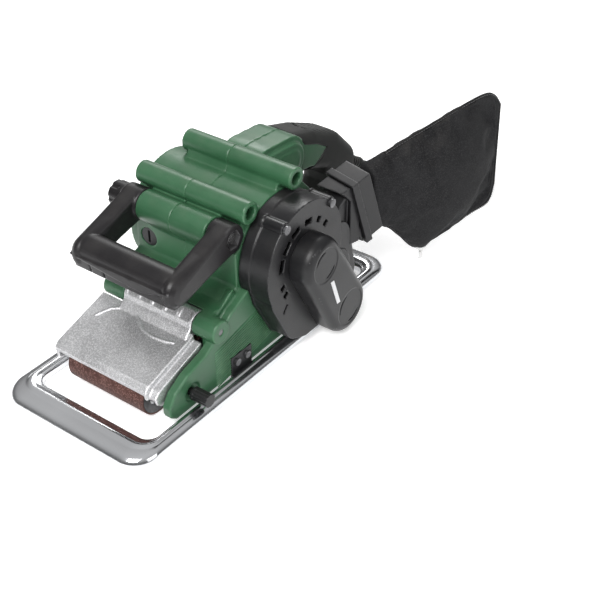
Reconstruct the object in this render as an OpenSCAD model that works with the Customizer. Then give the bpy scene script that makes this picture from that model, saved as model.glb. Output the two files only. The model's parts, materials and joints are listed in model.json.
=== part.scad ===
// Handheld belt sander: transverse motor over a 76 mm belt, bench sanding frame and dust bag.
// +X forward, +Y the drive-belt side, +Z up; origin on the sanding plane under the belt's centre.

/* [Abrasive belt] */
// Width of the abrasive belt
belt_w = 76; // [60:1:76]
// Thickness of the abrasive belt
belt_t = 1.2; // [0.8:0.1:1.5]
// Radius of the belt's outer face round the drive roller
drive_wrap_r = 25; // [22:0.5:26]
// Radius of the belt's outer face round the front roller
front_wrap_r = 17; // [15:0.5:19]

/* [Motor] */
// Outside radius of the motor barrel
barrel_r = 48; // [46:0.5:49]
// Wall of the motor barrel
barrel_wall = 4; // [2.5:0.5:5]
// Radius of the armature core
core_r = 19; // [16:0.5:20]
// Teeth on the motor pulley
motor_teeth = 15; // [12:1:16]
// Teeth on the driven pulley
driven_teeth = 36; // [30:1:37]

/* [Clamp rod tubes] */
// Outside radius of the two tubes on top of the housing
tube_r = 9; // [8:0.5:9.5]
// Bore radius of the two tubes
tube_bore_r = 5; // [3:0.5:6]

/* [Front handle] */
// Radius of the handle's hubs and of the housing boss between them
hub_r = 12.5; // [10:0.5:12.5]
// Radius of the handle's cross bar
bar_r = 13.5; // [11:0.5:14]
// Half of the handle's overall width
handle_half_w = 52; // [50:1:56]

/* [Rear handle] */
// Half width of the rear handle
grip_half_w = 18; // [16:0.5:20]
// Thickness of the rubber cover
rubber_t = 3; // [2:0.5:3]

/* [Sanding frame] */
// Overall length of the sanding frame
frame_l = 326; // [300:1:340]
// Overall width of the sanding frame
frame_w = 146; // [140:1:150]
// Height of the pressed channel without its bead
frame_h = 7; // [5:0.5:8]
// Sheet thickness of the sanding frame
frame_t = 1.5; // [1:0.1:2]

/* [Mains cord] */
// Diameter of the mains cord
cord_d = 7; // [6:0.1:8]
// Radius of the middle of the coil's turns
coil_r = 37.5; // [35:0.5:42]

/* [Hidden] */
$fn = 96;

green = "#3f7a52";
black = "#2b2b2d";
steel = "#b9bcc0";

gap = 0.3;              // clearance between pieces that move past each other
run = 0.05;             // radial clearance of a running fit
eps = 0.01;
hair = 0.003;

// Axes along Y, as [x, z]
drive_at = [-61, drive_wrap_r];
front_at = [103, front_wrap_r];
motor_at = [-27, 84];
pivot_at = [27, 117.5];
hinge_at = [56, 55.5];
front_tube_at = [11, 134];
rear_tube_at = [-39, 141];
tracking_at = [87, 17.5];
lever_at = [30, -52, 0];

drive_roller_r = drive_wrap_r - belt_t - gap;
front_roller_r = front_wrap_r - belt_t - gap;
sleeve_t = 3;
belt_half = belt_w / 2;
cheek_in = belt_half + 1;
pad_z = belt_t + gap;
pad_t = 1.5;
sole_t = 2;
sole_top = pad_z + pad_t + sole_t;

// Planes across the machine
barrel_right = -59;
cover_in = 50;          // where the black end cover meets the left housing
cover_out = 78;
guard_out = 97;
panel_out = 58.5;
panel_in = 51;
wall_in = 47;
barrel_in_r = barrel_r - barrel_wall;
field_r = 32;           // the belt passes 37 mm below the motor axis

// Timing belt
tooth_pitch = 3;
motor_pulley_r = motor_teeth * tooth_pitch / (2 * PI);
driven_pulley_r = driven_teeth * tooth_pitch / (2 * PI);
timing_t = 1.5;
pulley_y = [80.5, 90.5];

shaft_r = 4;
drive_shaft_r = 5;
bearing_r = 11;
bolt_r = 4.1;
hinge_pin_r = 2.5;
brush_y = -38;
brush_cap_x = 18.5;

// Rear handle: centre line of the loop, as [x, z, radius]
loop = [
    [-60, 124, 20], [-84, 122, 20], [-118, 115, 17], [-148, 103, 16], [-166, 84, 16.5],
    [-166, 64, 16], [-150, 47, 13], [-118, 42, 12], [-98, 42, 14]
];
core_wall = 3;
side_step = 6;
trigger_at = [-104, 103];
lock_at = [-97, 121];

// Dust outlet frame of reference: turned out and tipped up
outlet_at = [-98, 66.4, 89.3];
outlet_yaw = -13;
outlet_pitch = 17;
outlet_w = 26;
outlet_h = 58;
spigot_w = 22;
spigot_h = 54;
duct_wall = 2;

// Dust bag outline in its own plane, as [distance behind the outlet, height]
bag_half_t = 21;
bag_bend = [
    [20, 64], [45, 54], [84, 16], [174, 26.8], [181, 40], [179, 120], [170, 135], [155, 140],
    [34, 124], [20, 121]
];
bag_core = [[60, 62], [96, 40], [150, 46], [158, 62], [156, 108], [140, 118], [60, 102]];

// Cord
gland_exit = [-214, 0, 56];
gland_dir = [-47, -28] / norm([47, 28]);
gland_tilt = -90 - atan2(28, 47);
gland_l = 38;
coil_at = [-322, 25];
coil_lift = 1.2;
coil_half = 14;
coil_h = 2 * cord_d;
run_path = [
    [-214, 0, 56], [-226, 0, 48.85], [-237, -1.5, 41.5], [-247, -4, 34], [-256, -7.5, 26], [-265, -11, 18],
    [-276, -15.5, 10.5], [-289, -19.5, 6.2], [-305, -22.3, 4.7], [-322, -23, 4.7]
];
tail_path = [
    [-322, 73, 11.7], [-308, 71.5, 12.5], [-296, 67, 15], [-287, 60, 19], [-283, 52, 22.5], [-282, 45, 23.4]
];
plug_at = [-282, 25, 23.4];

// ---------- shape helpers ----------

// Solid along Y from an outline drawn as [x, z]
module along_y(y0, y1) {
    translate([0, y1, 0]) rotate([90, 0, 0]) linear_extrude(y1 - y0) children();
}

module y_rod(r, y0, y1, at) {
    along_y(y0, y1) translate(at) circle(r);
}

module y_ring(r_out, r_in, y0, y1, at) {
    along_y(y0, y1) translate(at) difference() {
        circle(r_out);
        circle(r_in);
    }
}

module x_rod(r, x0, x1, y, z) {
    translate([x0, y, z]) rotate([0, 90, 0]) cylinder(r = r, h = x1 - x0);
}

module block(lo, hi) {
    translate(lo) cube(hi - lo);
}

function on_circle(c, r, a) = c + r * [cos(a), sin(a)];

// Two circles joined by their outer tangents, which run a hair inside both circles
module link(c1, r1, c2, r2) {
    heading = atan2(c2[1] - c1[1], c2[0] - c1[0]);
    open = acos((r1 - r2) / norm(c2 - c1));
    translate(c1) circle(r1);
    translate(c2) circle(r2);
    polygon([
        on_circle(c1, r1 - hair, heading - open), on_circle(c2, r2 - hair, heading - open),
        on_circle(c2, r2 - hair, heading + open), on_circle(c1, r1 - hair, heading + open)
    ]);
}

// A chain of links; each point is [x, z, radius], thinned all round by inset
module strip(points, inset = 0) {
    for (i = [0 : len(points) - 2]) {
        p = points[i];
        q = points[i + 1];
        link([p[0], p[1]], p[2] - inset, [q[0], q[1]], q[2] - inset);
    }
}

module rounded_rect(l, w, r) {
    square([l - 2 * r, w], center = true);
    square([l, w - 2 * r], center = true);
    for (x = [-1, 1], y = [-1, 1]) translate([x * (l / 2 - r), y * (w / 2 - r)]) circle(r);
}

function unit(v) = v / norm(v);
function heading_at(path, i) =
    unit(path[min(i + 1, len(path) - 1)] - path[max(i - 1, 0)]);

// Round tube along a path, closed at both ends
module tube(path, r, sides = 10) {
    count = len(path);
    rings = [for (i = [0 : count - 1])
        let (t = heading_at(path, i), side = unit(cross(t, [0, 0, 1])), up = cross(side, t))
        for (k = [0 : sides - 1])
            path[i] + r * (cos(360 * k / sides) * side + sin(360 * k / sides) * up)];
    walls = [for (i = [0 : count - 2], k = [0 : sides - 1])
        let (a = i * sides + k, b = i * sides + (k + 1) % sides)
        [a, a + sides, b + sides, b]];
    first = [for (k = [0 : sides - 1]) k];
    last = [for (k = [sides - 1 : -1 : 0]) (count - 1) * sides + k];
    polyhedron(rings, concat([first], walls, [last]));
}

module at_outlet() {
    translate(outlet_at) rotate([0, 0, outlet_yaw]) rotate([0, outlet_pitch, 0]) children();
}

// The bag's own upright plane: x runs back from the outlet, y is up
module at_bag(half_t) {
    translate([outlet_at[0], outlet_at[1], 0]) rotate([0, 0, outlet_yaw]) mirror([1, 0, 0])
        rotate([90, 0, 0]) translate([0, 0, -half_t]) linear_extrude(2 * half_t) children();
}

// ---------- green housing ----------

module cover_outline(inset = 0) {
    translate(motor_at) circle(barrel_r - 0.5 - inset);
    strip([[-8, 66, 24], [-18, 30, 16], [-30, 24, 15], [-61, 28, 19], [-68, 50, 18]], inset);
}

module deck_outline() {
    polygon([
        [23, 102], [0, 112], [-40, 128], [-84, 100], [-84, 53.5], [-61, 53.5], [56, 46], [56, 65], [50, 65],
        [38, 66], [23, 72]
    ]);
}

module rear_body_outline() {
    strip([[-66, 98, 20], [-76, 84, 22], [-84, 64, 14], [-98, 42, 11]]);
}

module panel_outline() {
    polygon([
        [106, 4.5], [112, 9], [113, 18], [106, 28], [92, 36], [70, 42], [56, 50], [40, 62], [23, 70],
        [-27, 90], [-60, 50], [-48, 4.5]
    ]);
}

module tube_webs() {
    along_y(-44, 49) link(front_tube_at, 6, [-4, 112], 14.5);
    along_y(-40, 49) link(rear_tube_at, 6, [-36, 122], 12);
    along_y(-33.5, 33.5) link(pivot_at, hub_r, [8, 100], 14);
}

module brush_bosses() {
    x_rod(11, 8, 21.5, brush_y, motor_at[1]);
    x_rod(11, 2 * motor_at[0] - 21.5, 2 * motor_at[0] - 8, brush_y, motor_at[1]);
}

// The handle's loop, stepped down towards its sides, and thinned by inset
module loop_solid(inset = 0) {
    along_y(-grip_half_w + side_step + inset, grip_half_w - side_step - inset) strip(loop, inset);
    along_y(-grip_half_w + inset, grip_half_w - inset) strip(loop, inset + side_step * 0.8);
}

module dome() {
    along_y(-18, 18) link([-58, 122], 22, [-86, 121], 21);
    along_y(-21, 21) link([-58, 122], 17, [-86, 121], 16);
}

module green_region() {
    along_y(-40, 40) polygon([
        [0, 170], [-94, 170], [-98, 138], [-106, 127], [-124, 120], [-137, 112], [-128, 105], [-112, 98],
        [-100, 94], [-92, 76], [-92, 58], [-110, 20], [0, 20]
    ]);
}

module housing_outside() {
    y_rod(barrel_r, barrel_right, cover_in, motor_at);
    y_rod(barrel_r - 5, barrel_right - 3, barrel_right + 1, motor_at);
    y_rod(tube_r, -50, 56, front_tube_at);
    y_rod(tube_r, -46, 60, rear_tube_at);
    tube_webs();
    brush_bosses();
    along_y(-50, cover_in) deck_outline();
    along_y(-30, 34) rear_body_outline();
    dome();
    intersection() {
        loop_solid();
        green_region();
    }
    loop_solid(rubber_t);
    y_rod(9.5, -50, -28.5, hinge_at);
    y_rod(9.5, 40.5, 62, hinge_at);
    side_panel();
}

module side_panel() {
    difference() {
        along_y(wall_in, panel_out) panel_outline();
        block([62, wall_in - 1, 0], [120, panel_in, 60]);
        along_y(cover_in, panel_out + 1) cover_outline(-gap);
        along_y(wall_in - 1, panel_out - 3) strip([[62, 25, 11], [20, 26, 16], [0, 28, 14]]);
    }
}

module housing_hollows() {
    y_rod(tube_bore_r, -60, 70, front_tube_at);
    y_rod(tube_bore_r, -60, 70, rear_tube_at);
    y_rod(field_r, barrel_right + 3, cover_in - 3, motor_at);
    y_rod(bearing_r, cover_in - 7, cover_in + 1, motor_at);
    y_rod(bolt_r + run, -40, 40, pivot_at);
    y_rod(hinge_pin_r, -50, 62.5, hinge_at);
    y_rod(10.2, -28.5, 40.5, hinge_at);
    along_y(-11, 11) strip([for (i = [1 : 4]) loop[i]], rubber_t + core_wall);
    trigger_slot();
    gland_hole();
    y_rod(4 + run, -34, -12, lock_at);
    each_brush() {
        x_rod(6.5, -6, brush_cap_x + 1, brush_y, motor_at[1]);
        x_rod(8, brush_cap_x, 34, brush_y, motor_at[1]);
    }
    y_rod(8, panel_out - 2.5, panel_out + 1, tracking_at);
    y_rod(3 + run, panel_in - 5, panel_out + 1, tracking_at);
    for (p = half_screws) {
        y_rod(2, screw_seat - 1, 9, p);
        y_rod(4, barrel_right - 1, screw_seat, p);
    }
    belt_space();
    base_space();
}

// Room for the belt to turn under the housing
module belt_space() {
    along_y(-belt_half - 3, belt_half + 3) link(drive_at, drive_wrap_r + 3, front_at, front_wrap_r + 2);
}

// Room for the base frame's cheeks
module base_space() {
    along_y(-cheek_in - 9, wall_in) link(drive_at, 14 + gap, [34, 20], 14 + gap);
}

// Bearing seats that stand in the barrel
module bearing_bosses() {
    y_ring(bearing_r + 3, bearing_r, barrel_right + 3, barrel_right + 10, motor_at);
    y_ring(bearing_r + 3, bearing_r, cover_in - 7, cover_in - 3, motor_at);
}

half_screws = [[12, 118], [-72, 112], [-80, 72], [36, 56.5]];
screw_seat = -22;

module housing_left() color(green) {
    difference() {
        intersection() {
            housing_outside();
            block([-300, 0, 0], [200, 100, 200]);
        }
        housing_hollows();
        panel_grooves();
    }
    intersection() {
        bearing_bosses();
        block([-100, 0, 0], [100, 100, 200]);
    }
    y_rod(1.5, 0, 7.2, trigger_at);
}

module housing_right() color(green) {
    difference() {
        intersection() {
            housing_outside();
            block([-300, -100, 0], [200, 0, 200]);
        }
        housing_hollows();
    }
    intersection() {
        bearing_bosses();
        block([-100, -100, 0], [100, 0, 200]);
    }
    y_rod(1.5, -7.2, 0, trigger_at);
}

groove_count = 13;
groove_step = 2.9;
groove_slope = -11.5;

module panel_grooves() {
    intersection() {
        along_y(panel_out - 1.2, panel_out + 1) polygon([[60, 40], [12, 50], [-22, 6], [66, 6]]);
        for (i = [0 : groove_count - 1])
            translate([22, panel_out, 46 - i * groove_step]) rotate([0, -groove_slope, 0])
                cube([120, 4, 1.3], center = true);
    }
}

module housing_screws() color(steel) {
    for (p = half_screws) {
        y_rod(2, screw_seat, 8, p);
        y_rod(3.6, screw_seat - 4, screw_seat, p);
    }
}

// ---------- end cover, dust outlet and drive-belt guard ----------

vents = [[-39, 32.7, 5, 5], [-23, 31.5, 5, 5], [14, 31, 5, 11], [41, 31, 5, 11], [66, 31, 5, 10],
    [95, 31, 5, 9], [121, 31, 5, 5], [143, 31, 5, 5], [-52, 42.5, 8, 2.5]];

module motor_end_cover() color(black) {
    difference() {
        union() {
            along_y(cover_in, cover_out) cover_outline();
            for (a = [56, 133]) y_rod(5, 58, cover_out, on_circle(motor_at, 46, a));
            along_y(56, 77) strip([[-70, 74, 18], [-84, 40, 12], [-84, 28, 10]]);
        }
        y_rod(barrel_in_r, cover_in - 1, cover_out - 3, motor_at);
        y_rod(14, cover_in - 1, cover_out - 3, drive_at);
        y_rod(6, cover_in, cover_out + 1, motor_at);
        y_rod(7, cover_in, cover_out + 1, drive_at);
        for (v = vents) translate([motor_at[0], cover_out, motor_at[1]]) rotate([0, -v[0], 0])
            translate([v[1], 0, 0]) cube([v[2], 20, v[3]], center = true);
        for (a = [56, 133]) y_rod(1.9, 60, cover_out + 1, on_circle(motor_at, 46, a));
        outlet_passage();
    }
}

module cover_screws() color(steel) {
    for (a = [56, 133]) {
        p = on_circle(motor_at, 46, a);
        y_rod(1.9, 62, cover_out, p);
        y_rod(3.6, cover_out, cover_out + 2.2, p);
    }
}

module outlet_passage() {
    at_outlet() block([-30, -spigot_w / 2 + duct_wall, -spigot_h / 2 + duct_wall],
        [40, spigot_w / 2 - duct_wall, spigot_h / 2 - duct_wall]);
}

module dust_outlet() color(black) {
    difference() {
        at_outlet() {
            block([1, -outlet_w / 2, -outlet_h / 2], [60, outlet_w / 2, outlet_h / 2]);
            block([-16, -spigot_w / 2, -spigot_h / 2], [1, spigot_w / 2, spigot_h / 2]);
        }
        outlet_passage();
        along_y(0, 100) cover_outline();
        along_y(0, 100) strip([[-70, 74, 18], [-84, 40, 12], [-84, 28, 10]]);
        along_y(-40, 100) rear_body_outline();
        dome();
        along_y(-40, cover_in) deck_outline();
        y_rod(barrel_r, -60, 100, motor_at);
        y_rod(tube_r, -60, 100, rear_tube_at);
    }
}

guard_top_r = 22;
guard_low_r = 23.5;
guard_low_at = [-61, 26];

module guard_outline(inset = 0) {
    link(motor_at, guard_top_r - inset, guard_low_at, guard_low_r - inset);
}

module guard_arcs() {
    for (k = [[motor_at, 15.5, -75, 60], [motor_at, 15.5, 185, 30], [guard_low_at, 17.5, -70, 70],
              [guard_low_at, 17.5, 95, 50]])
        translate([k[0][0], guard_out, k[0][1]]) rotate([90, 0, 0]) rotate([0, 0, k[2]])
            rotate_extrude(angle = k[3]) translate([k[1], -1]) square([1.8, 2.4]);
}

module belt_guard() color(black) {
    difference() {
        along_y(cover_out, guard_out) guard_outline();
        along_y(cover_out - 1, guard_out - 2.5) guard_outline(2.5);
        guard_arcs();
    }
}

module guard_label() color("white") {
    along_y(guard_out, guard_out + 0.4)
        polygon([[-46, 40], [-42, 40], [-33, 65], [-37, 65]]);
}

// ---------- rear handle ----------

module trigger_slot() {
    block([-129.5, -7, 84], [-100.5, 7, 112]);
}

module gland_hole() {
    translate(gland_exit) rotate([0, gland_tilt, 0]) {
        translate([0, 0, -gland_l - 16]) cylinder(r = 6, h = 17);
        translate([0, 0, -gland_l]) cylinder(r = 7, h = 20);
    }
}

module grip_cover() color(black) {
    difference() {
        loop_solid();
        loop_solid(rubber_t);
        green_region();
        trigger_slot();
        gland_hole();
        along_y(-30, 34) rear_body_outline();
        dome();
    }
}

module switch_body() color("dimgray") {
    block([-126, -9, 112.5], [-104, 9, 119.5]);
}

module switch_trigger() color(black) {
    difference() {
        along_y(-6.5, 6.5) polygon([[-102, 106], [-101.5, 99], [-106, 96], [-112, 95], [-127, 91], [-128, 93],
            [-127, 104]]);
        y_rod(1.5 + run, -8, 8, trigger_at);
    }
}

module lock_button() color("firebrick") {
    y_rod(4, -28, -15.5, lock_at);
}

// ---------- motor ----------

module armature_shaft() color(steel) y_rod(shaft_r, barrel_right + 3.5, 91, motor_at);

module armature_core() color("silver") {
    y_ring(core_r, shaft_r, -12, 30, motor_at);
    for (y = [-20, 30]) y_ring(core_r - 5, shaft_r, y, y + 8, motor_at);
}

module commutator() color("peru") y_ring(11, shaft_r, -46, -30, motor_at);

fan_blades = 12;

module cooling_fan() color(black) {
    y_ring(38, shaft_r, 53, 55, motor_at);
    y_ring(9, shaft_r, 55, 70, motor_at);
    for (i = [0 : fan_blades - 1])
        translate([motor_at[0], 0, motor_at[1]]) rotate([0, 360 * i / fan_blades, 0])
            block([14, 55, -1], [38, 68, 1]);
}

module motor_pulley() color(steel)
    y_ring(motor_pulley_r, shaft_r, pulley_y[0], pulley_y[1], motor_at);

module motor_bearings() color(steel) {
    y_ring(bearing_r, shaft_r + run, barrel_right + 3, barrel_right + 10, motor_at);
    y_ring(bearing_r, shaft_r + run, cover_in - 7, cover_in, motor_at);
}

module field_stator() color("slategray") {
    y_ring(field_r, core_r + 1, -12, 30, motor_at);
}

module each_brush() {
    for (s = [0, 1]) translate([2 * motor_at[0] * s, 0, 0]) mirror([s, 0, 0]) children();
}

module brush_holders() color("goldenrod") {
    each_brush() difference() {
        x_rod(6.5, -14.5, brush_cap_x, brush_y, motor_at[1]);
        block([-20, brush_y - 4.1, motor_at[1] - 3.1], [20, brush_y + 4.1, motor_at[1] + 3.1]);
    }
}

module carbon_brushes() color("#202020") {
    each_brush() block([-15.6, brush_y - 4, motor_at[1] - 3], [-3, brush_y + 4, motor_at[1] + 3]);
}

module brush_springs() color(steel) {
    each_brush() difference() {
        x_rod(2.6, -3, brush_cap_x - 2, brush_y, motor_at[1]);
        x_rod(1.8, -4, brush_cap_x, brush_y, motor_at[1]);
    }
}

module brush_caps() color(black) {
    each_brush() difference() {
        union() {
            x_rod(8, brush_cap_x, brush_cap_x + 3.8, brush_y, motor_at[1]);
            x_rod(2.6, brush_cap_x - 2, brush_cap_x, brush_y, motor_at[1]);
        }
        block([brush_cap_x + 2, brush_y - 1, motor_at[1] - 5.5], [25, brush_y + 1, motor_at[1] + 5.5]);
    }
}

// ---------- belt train ----------

module sanding_belt() color("#6b4a44") {
    along_y(-belt_half, belt_half) difference() {
        link(drive_at, drive_wrap_r, front_at, front_wrap_r);
        link(drive_at, drive_wrap_r - belt_t, front_at, front_wrap_r - belt_t);
    }
}

module drive_belt() color("#202020") {
    along_y(pulley_y[0] + 1, pulley_y[1] - 1) difference() {
        link(motor_at, motor_pulley_r + timing_t + gap, drive_at, driven_pulley_r + timing_t + gap);
        link(motor_at, motor_pulley_r + gap, drive_at, driven_pulley_r + gap);
    }
}

module drive_shaft() color(steel) y_rod(drive_shaft_r, -45.5, 91, drive_at);

module drive_roller() color("silver")
    y_ring(drive_roller_r - sleeve_t, drive_shaft_r, -belt_half, belt_half, drive_at);

module roller_sleeve() color("#202020")
    y_ring(drive_roller_r, drive_roller_r - sleeve_t, -belt_half, belt_half, drive_at);

module driven_pulley() color(steel)
    y_ring(driven_pulley_r, drive_shaft_r, pulley_y[0], pulley_y[1], drive_at);

module drive_bearings() color(steel) {
    y_ring(bearing_r, drive_shaft_r + run, cheek_in, cheek_in + 7, drive_at);
    y_ring(bearing_r, drive_shaft_r + run, -cheek_in - 7, -cheek_in, drive_at);
}

module base_frame() color("silver") {
    difference() {
        union() {
            along_y(cheek_in, wall_in) link(drive_at, 14, [34, 20], 14);
            along_y(-cheek_in - 7, -cheek_in) link(drive_at, 14, [34, 20], 14);
            block([-30, -cheek_in, sole_top], [48, cheek_in, 34]);
            for (z = [[9.5, 13.5], [26.5, 30.5]]) lever_ear(z[0], z[1]);
        }
        y_rod(bearing_r, -60, 60, drive_at);
        block([-20, -11, 10.5], [60, 11, 25.5]);
        translate(lever_at) cylinder(r = 2, h = 60);
    }
}

module lever_ear(z0, z1) {
    translate([0, 0, z0]) translate(lever_at) cylinder(r = 6, h = z1 - z0);
    block([24, lever_at[1], z0], [36, -cheek_in - 7, z1]);
}

module sole_plate() color(steel)
    block([-34, -belt_half + 0.5, pad_z + pad_t], [68, belt_half - 0.5, sole_top]);

module cork_pad() color("#3a3a3a") block([-34, -belt_half + 1, pad_z], [68, belt_half - 1, pad_z + pad_t]);

tongue_end = 4;
spring_r = 5.5;

module front_yoke() color("silver") {
    difference() {
        union() {
            for (y = [cheek_in, -cheek_in - 5]) along_y(y, y + 5) link([74, 17], 7.5, front_at, 7.5);
            block([68, -cheek_in - 5, 9.5], [78, cheek_in + 5, 24.5]);
            block([tongue_end, -10.7, 10.8], [70, 10.7, 25.2]);
        }
        y_rod(shaft_r, -60, 60, front_at);
        x_rod(spring_r + gap, tongue_end - 1, tongue_end + 14, 0, 18);
    }
}

module front_axle() color(steel) y_rod(shaft_r, -cheek_in - 5, cheek_in + 5, front_at);

module front_roller() color("silver") y_ring(front_roller_r, 9, -belt_half, belt_half, front_at);

module front_bearings() color(steel)
    for (y = [-belt_half + 1, belt_half - 8]) y_ring(9, shaft_r + run, y, y + 7, front_at);

// The spring's end sits in a bore of the yoke's tongue
module tension_spring() color(steel) difference() {
    x_rod(spring_r, -20, tongue_end + 4, 0, 18);
    x_rod(spring_r - 1.4, -21, tongue_end + 5, 0, 18);
}

module lever_pin() color(steel) translate([0, 0, 9.5]) translate(lever_at) cylinder(r = 2, h = 21);

module tension_lever() color(steel) {
    difference() {
        union() {
            translate([0, 0, 14]) translate(lever_at) cylinder(r = 5.5, h = 12);
            block([30, -57.5, 14], [74, -54, 26]);
            translate([74, -55.75, 14]) cylinder(r = 3, h = 12);
        }
        translate(lever_at) cylinder(r = 2 + run, h = 40);
    }
}

knob_flutes = 10;

module tracking_knob() color(black) {
    y_rod(3, 45, 60, tracking_at);
    difference() {
        y_rod(5.5, panel_out + 1, 75, tracking_at);
        for (i = [0 : knob_flutes - 1])
            y_rod(0.9, panel_out + 3, 76, on_circle(tracking_at, 5.9, 360 * i / knob_flutes));
    }
}

// ---------- front handle and nose cover ----------

module front_handle() color(black) {
    arm_mid = [56, 109];
    bar_at = [82, 101];
    arm_in = handle_half_w - 16;
    difference() {
        union() {
            for (s = [0, 1]) mirror([0, s, 0]) {
                y_rod(hub_r, 34, handle_half_w, pivot_at);
                along_y(arm_in, handle_half_w) {
                    link(pivot_at, hub_r, arm_mid, 11.5);
                    link(arm_mid, 11.5, bar_at, bar_r);
                }
            }
            y_rod(bar_r, -handle_half_w, handle_half_w, bar_at);
        }
        y_rod(bolt_r, -60, 60, pivot_at);
        translate([pivot_at[0], 42, pivot_at[1]]) rotate([-90, 0, 0]) cylinder(r = 8, h = 20, $fn = 6);
    }
}

module handle_bolt() color(steel) {
    y_rod(bolt_r, -handle_half_w - 8.5, 42, pivot_at);
    translate([pivot_at[0], 42, pivot_at[1]]) rotate([-90, 0, 0]) cylinder(r = 7.9, h = 5.5, $fn = 6);
}

module clamp_knob() color(black) {
    difference() {
        y_rod(10.5, -handle_half_w - 12, -handle_half_w - 0.5, pivot_at);
        for (i = [0 : 5]) y_rod(3, -80, -handle_half_w - 4, on_circle(pivot_at, 12.5, 60 * i));
        y_rod(bolt_r + run, -handle_half_w - 9, -40, pivot_at);
    }
}

cover_half_w = 50;
ledge_y = 43;
skirt_t = 2.5;

// Side outline of the nose cover: top line, then the front and the skirt's lower edge
module nose_outline(drop, front) {
    polygon([
        [66, 51 - drop], [64, 33], [106, 18.5], [front - 2, 20], [front, 31 - drop], [front - 4, 35.2 - drop],
        [72, 48.8 - drop]
    ]);
}

module nose_hollow(drop, front) {
    polygon([
        [60, 47.5 - drop], [60, 10], [front + 5, 10], [front + 5, 27.5 - drop], [front - 2.4, 27.5 - drop],
        [front - 2.4, 29.5 - drop], [front - 5, 31.8 - drop], [72, 45.6 - drop]
    ]);
}

module nose_shell() {
    difference() {
        union() {
            along_y(-cover_half_w, ledge_y) nose_outline(0, 121);
            along_y(ledge_y, cover_half_w) nose_outline(4, 118);
        }
        along_y(-cover_half_w + skirt_t, ledge_y - skirt_t) nose_hollow(0, 121);
        along_y(ledge_y - skirt_t - 1, cover_half_w - skirt_t) nose_hollow(4, 118);
    }
}

module nose_cover() color("silver") {
    difference() {
        union() {
            nose_shell();
            y_rod(9.5, -28, 40, hinge_at);
            along_y(-28, 40) polygon([[57, 49], [66, 45], [74, 46.5], [74, 47.5], [63, 57], [58, 57]]);
        }
        y_rod(hinge_pin_r + run, -60, 60, hinge_at);
        for (i = [0 : 4]) translate([hinge_at[0], -20 + i * 13, hinge_at[1]]) rotate([0, -52, 0])
            block([8.3, -5, -4.5], [12, 5, 4.5]);
    }
}

module nose_hinge_pin() color(steel) y_rod(hinge_pin_r, -50, 61, hinge_at);

// ---------- sanding frame ----------

frame_open_l = 274;
frame_open_y = [-56, 60];

module frame_opening(grow = 0) {
    translate([0, (frame_open_y[0] + frame_open_y[1]) / 2])
        rounded_rect(frame_open_l + 2 * grow, frame_open_y[1] - frame_open_y[0] + 2 * grow, 10 + grow);
}

module sanding_frame() color(steel) {
    linear_extrude(frame_h) difference() {
        rounded_rect(frame_l, frame_w, 20);
        rounded_rect(frame_l - 2 * frame_t, frame_w - 2 * frame_t, 20 - frame_t);
    }
    linear_extrude(frame_h) difference() {
        frame_opening(frame_t);
        frame_opening();
    }
    translate([0, 0, frame_h - frame_t]) linear_extrude(frame_t) difference() {
        rounded_rect(frame_l - 2 * frame_t + eps, frame_w - 2 * frame_t + eps, 20 - frame_t);
        frame_opening(frame_t - eps);
    }
    translate([0, 0, frame_h]) linear_extrude(1.2) difference() {
        frame_opening(8);
        frame_opening(3);
    }
}

module frame_bracket() color(steel) {
    block([20, panel_out, 3], [44, frame_open_y[1], 22]);
    block([-139, -12, frame_h + 1.2], [-104, 12, frame_h + 3.2]);
    block([-106, -12, frame_h + 3.2], [-104, 12, 28]);
    block([-126, -12, 26], [-106, 12, 28]);
}

module frame_screws() color(steel) {
    for (x = [26, 38]) y_rod(3, frame_open_y[1], frame_open_y[1] + 2, [x, 16]);
    for (y = [-9, 9]) translate([-134, y, frame_h + 3.2]) cylinder(r = 3, h = 2);
}

// ---------- mains cord ----------

module cord_gland() color(black) {
    translate(gland_exit) rotate([0, gland_tilt, 0]) {
        translate([0, 0, -gland_l]) cylinder(r1 = 7, r2 = 5, h = gland_l);
        translate([0, 0, -gland_l - 9]) cylinder(r = 6, h = 9);
    }
}

module cord_run() color(black) tube(run_path, cord_d / 2);

module cord_coil() color(black)
    translate([coil_at[0], coil_at[1], coil_lift]) rotate_extrude()
        translate([coil_r - coil_half, 0]) square([2 * coil_half, coil_h]);

module cord_tail() color(black) tube(tail_path, cord_d / 2);

tie_w = 8;
tie_t = 1;

module cord_tie() color("dimgray") {
    translate([coil_at[0] - coil_r, coil_at[1], coil_lift + coil_h / 2]) difference() {
        cube([2 * coil_half + 2 * tie_t + 1, tie_w, coil_h + 2 * tie_t], center = true);
        cube([2 * coil_half + 1, tie_w + 1, coil_h + gap], center = true);
    }
}

plug_l = 40;

module mains_plug() color(black) {
    translate(plug_at) {
        rotate([90, 0, 0]) translate([0, 0, -plug_l / 2]) linear_extrude(plug_l) union() {
            square([18, 16], center = true);
            for (s = [-1, 1]) translate([s * 9, 0]) circle(8);
        }
    }
}

module plug_pins() color(steel)
    for (s = [-1, 1]) translate([plug_at[0] + s * 9.5, plug_at[1] - plug_l / 2 - 19, plug_at[2]])
        rotate([-90, 0, 0]) cylinder(r = 2.4, h = 19);

// ---------- dust bag ----------

collar_l = 20;

module bag_collar() color(black) {
    at_outlet() difference() {
        union() {
            block([-6, -outlet_w / 2 - 3, -outlet_h / 2 - 2], [0.5, outlet_w / 2 + 3, outlet_h / 2 + 2]);
            block([-collar_l, -outlet_w / 2 - 1, -outlet_h / 2], [-6, outlet_w / 2 + 1, outlet_h / 2]);
        }
        block([-collar_l - 1, -spigot_w / 2 - gap, -spigot_h / 2 - gap],
            [1, spigot_w / 2 + gap, spigot_h / 2 + gap]);
    }
}

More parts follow.
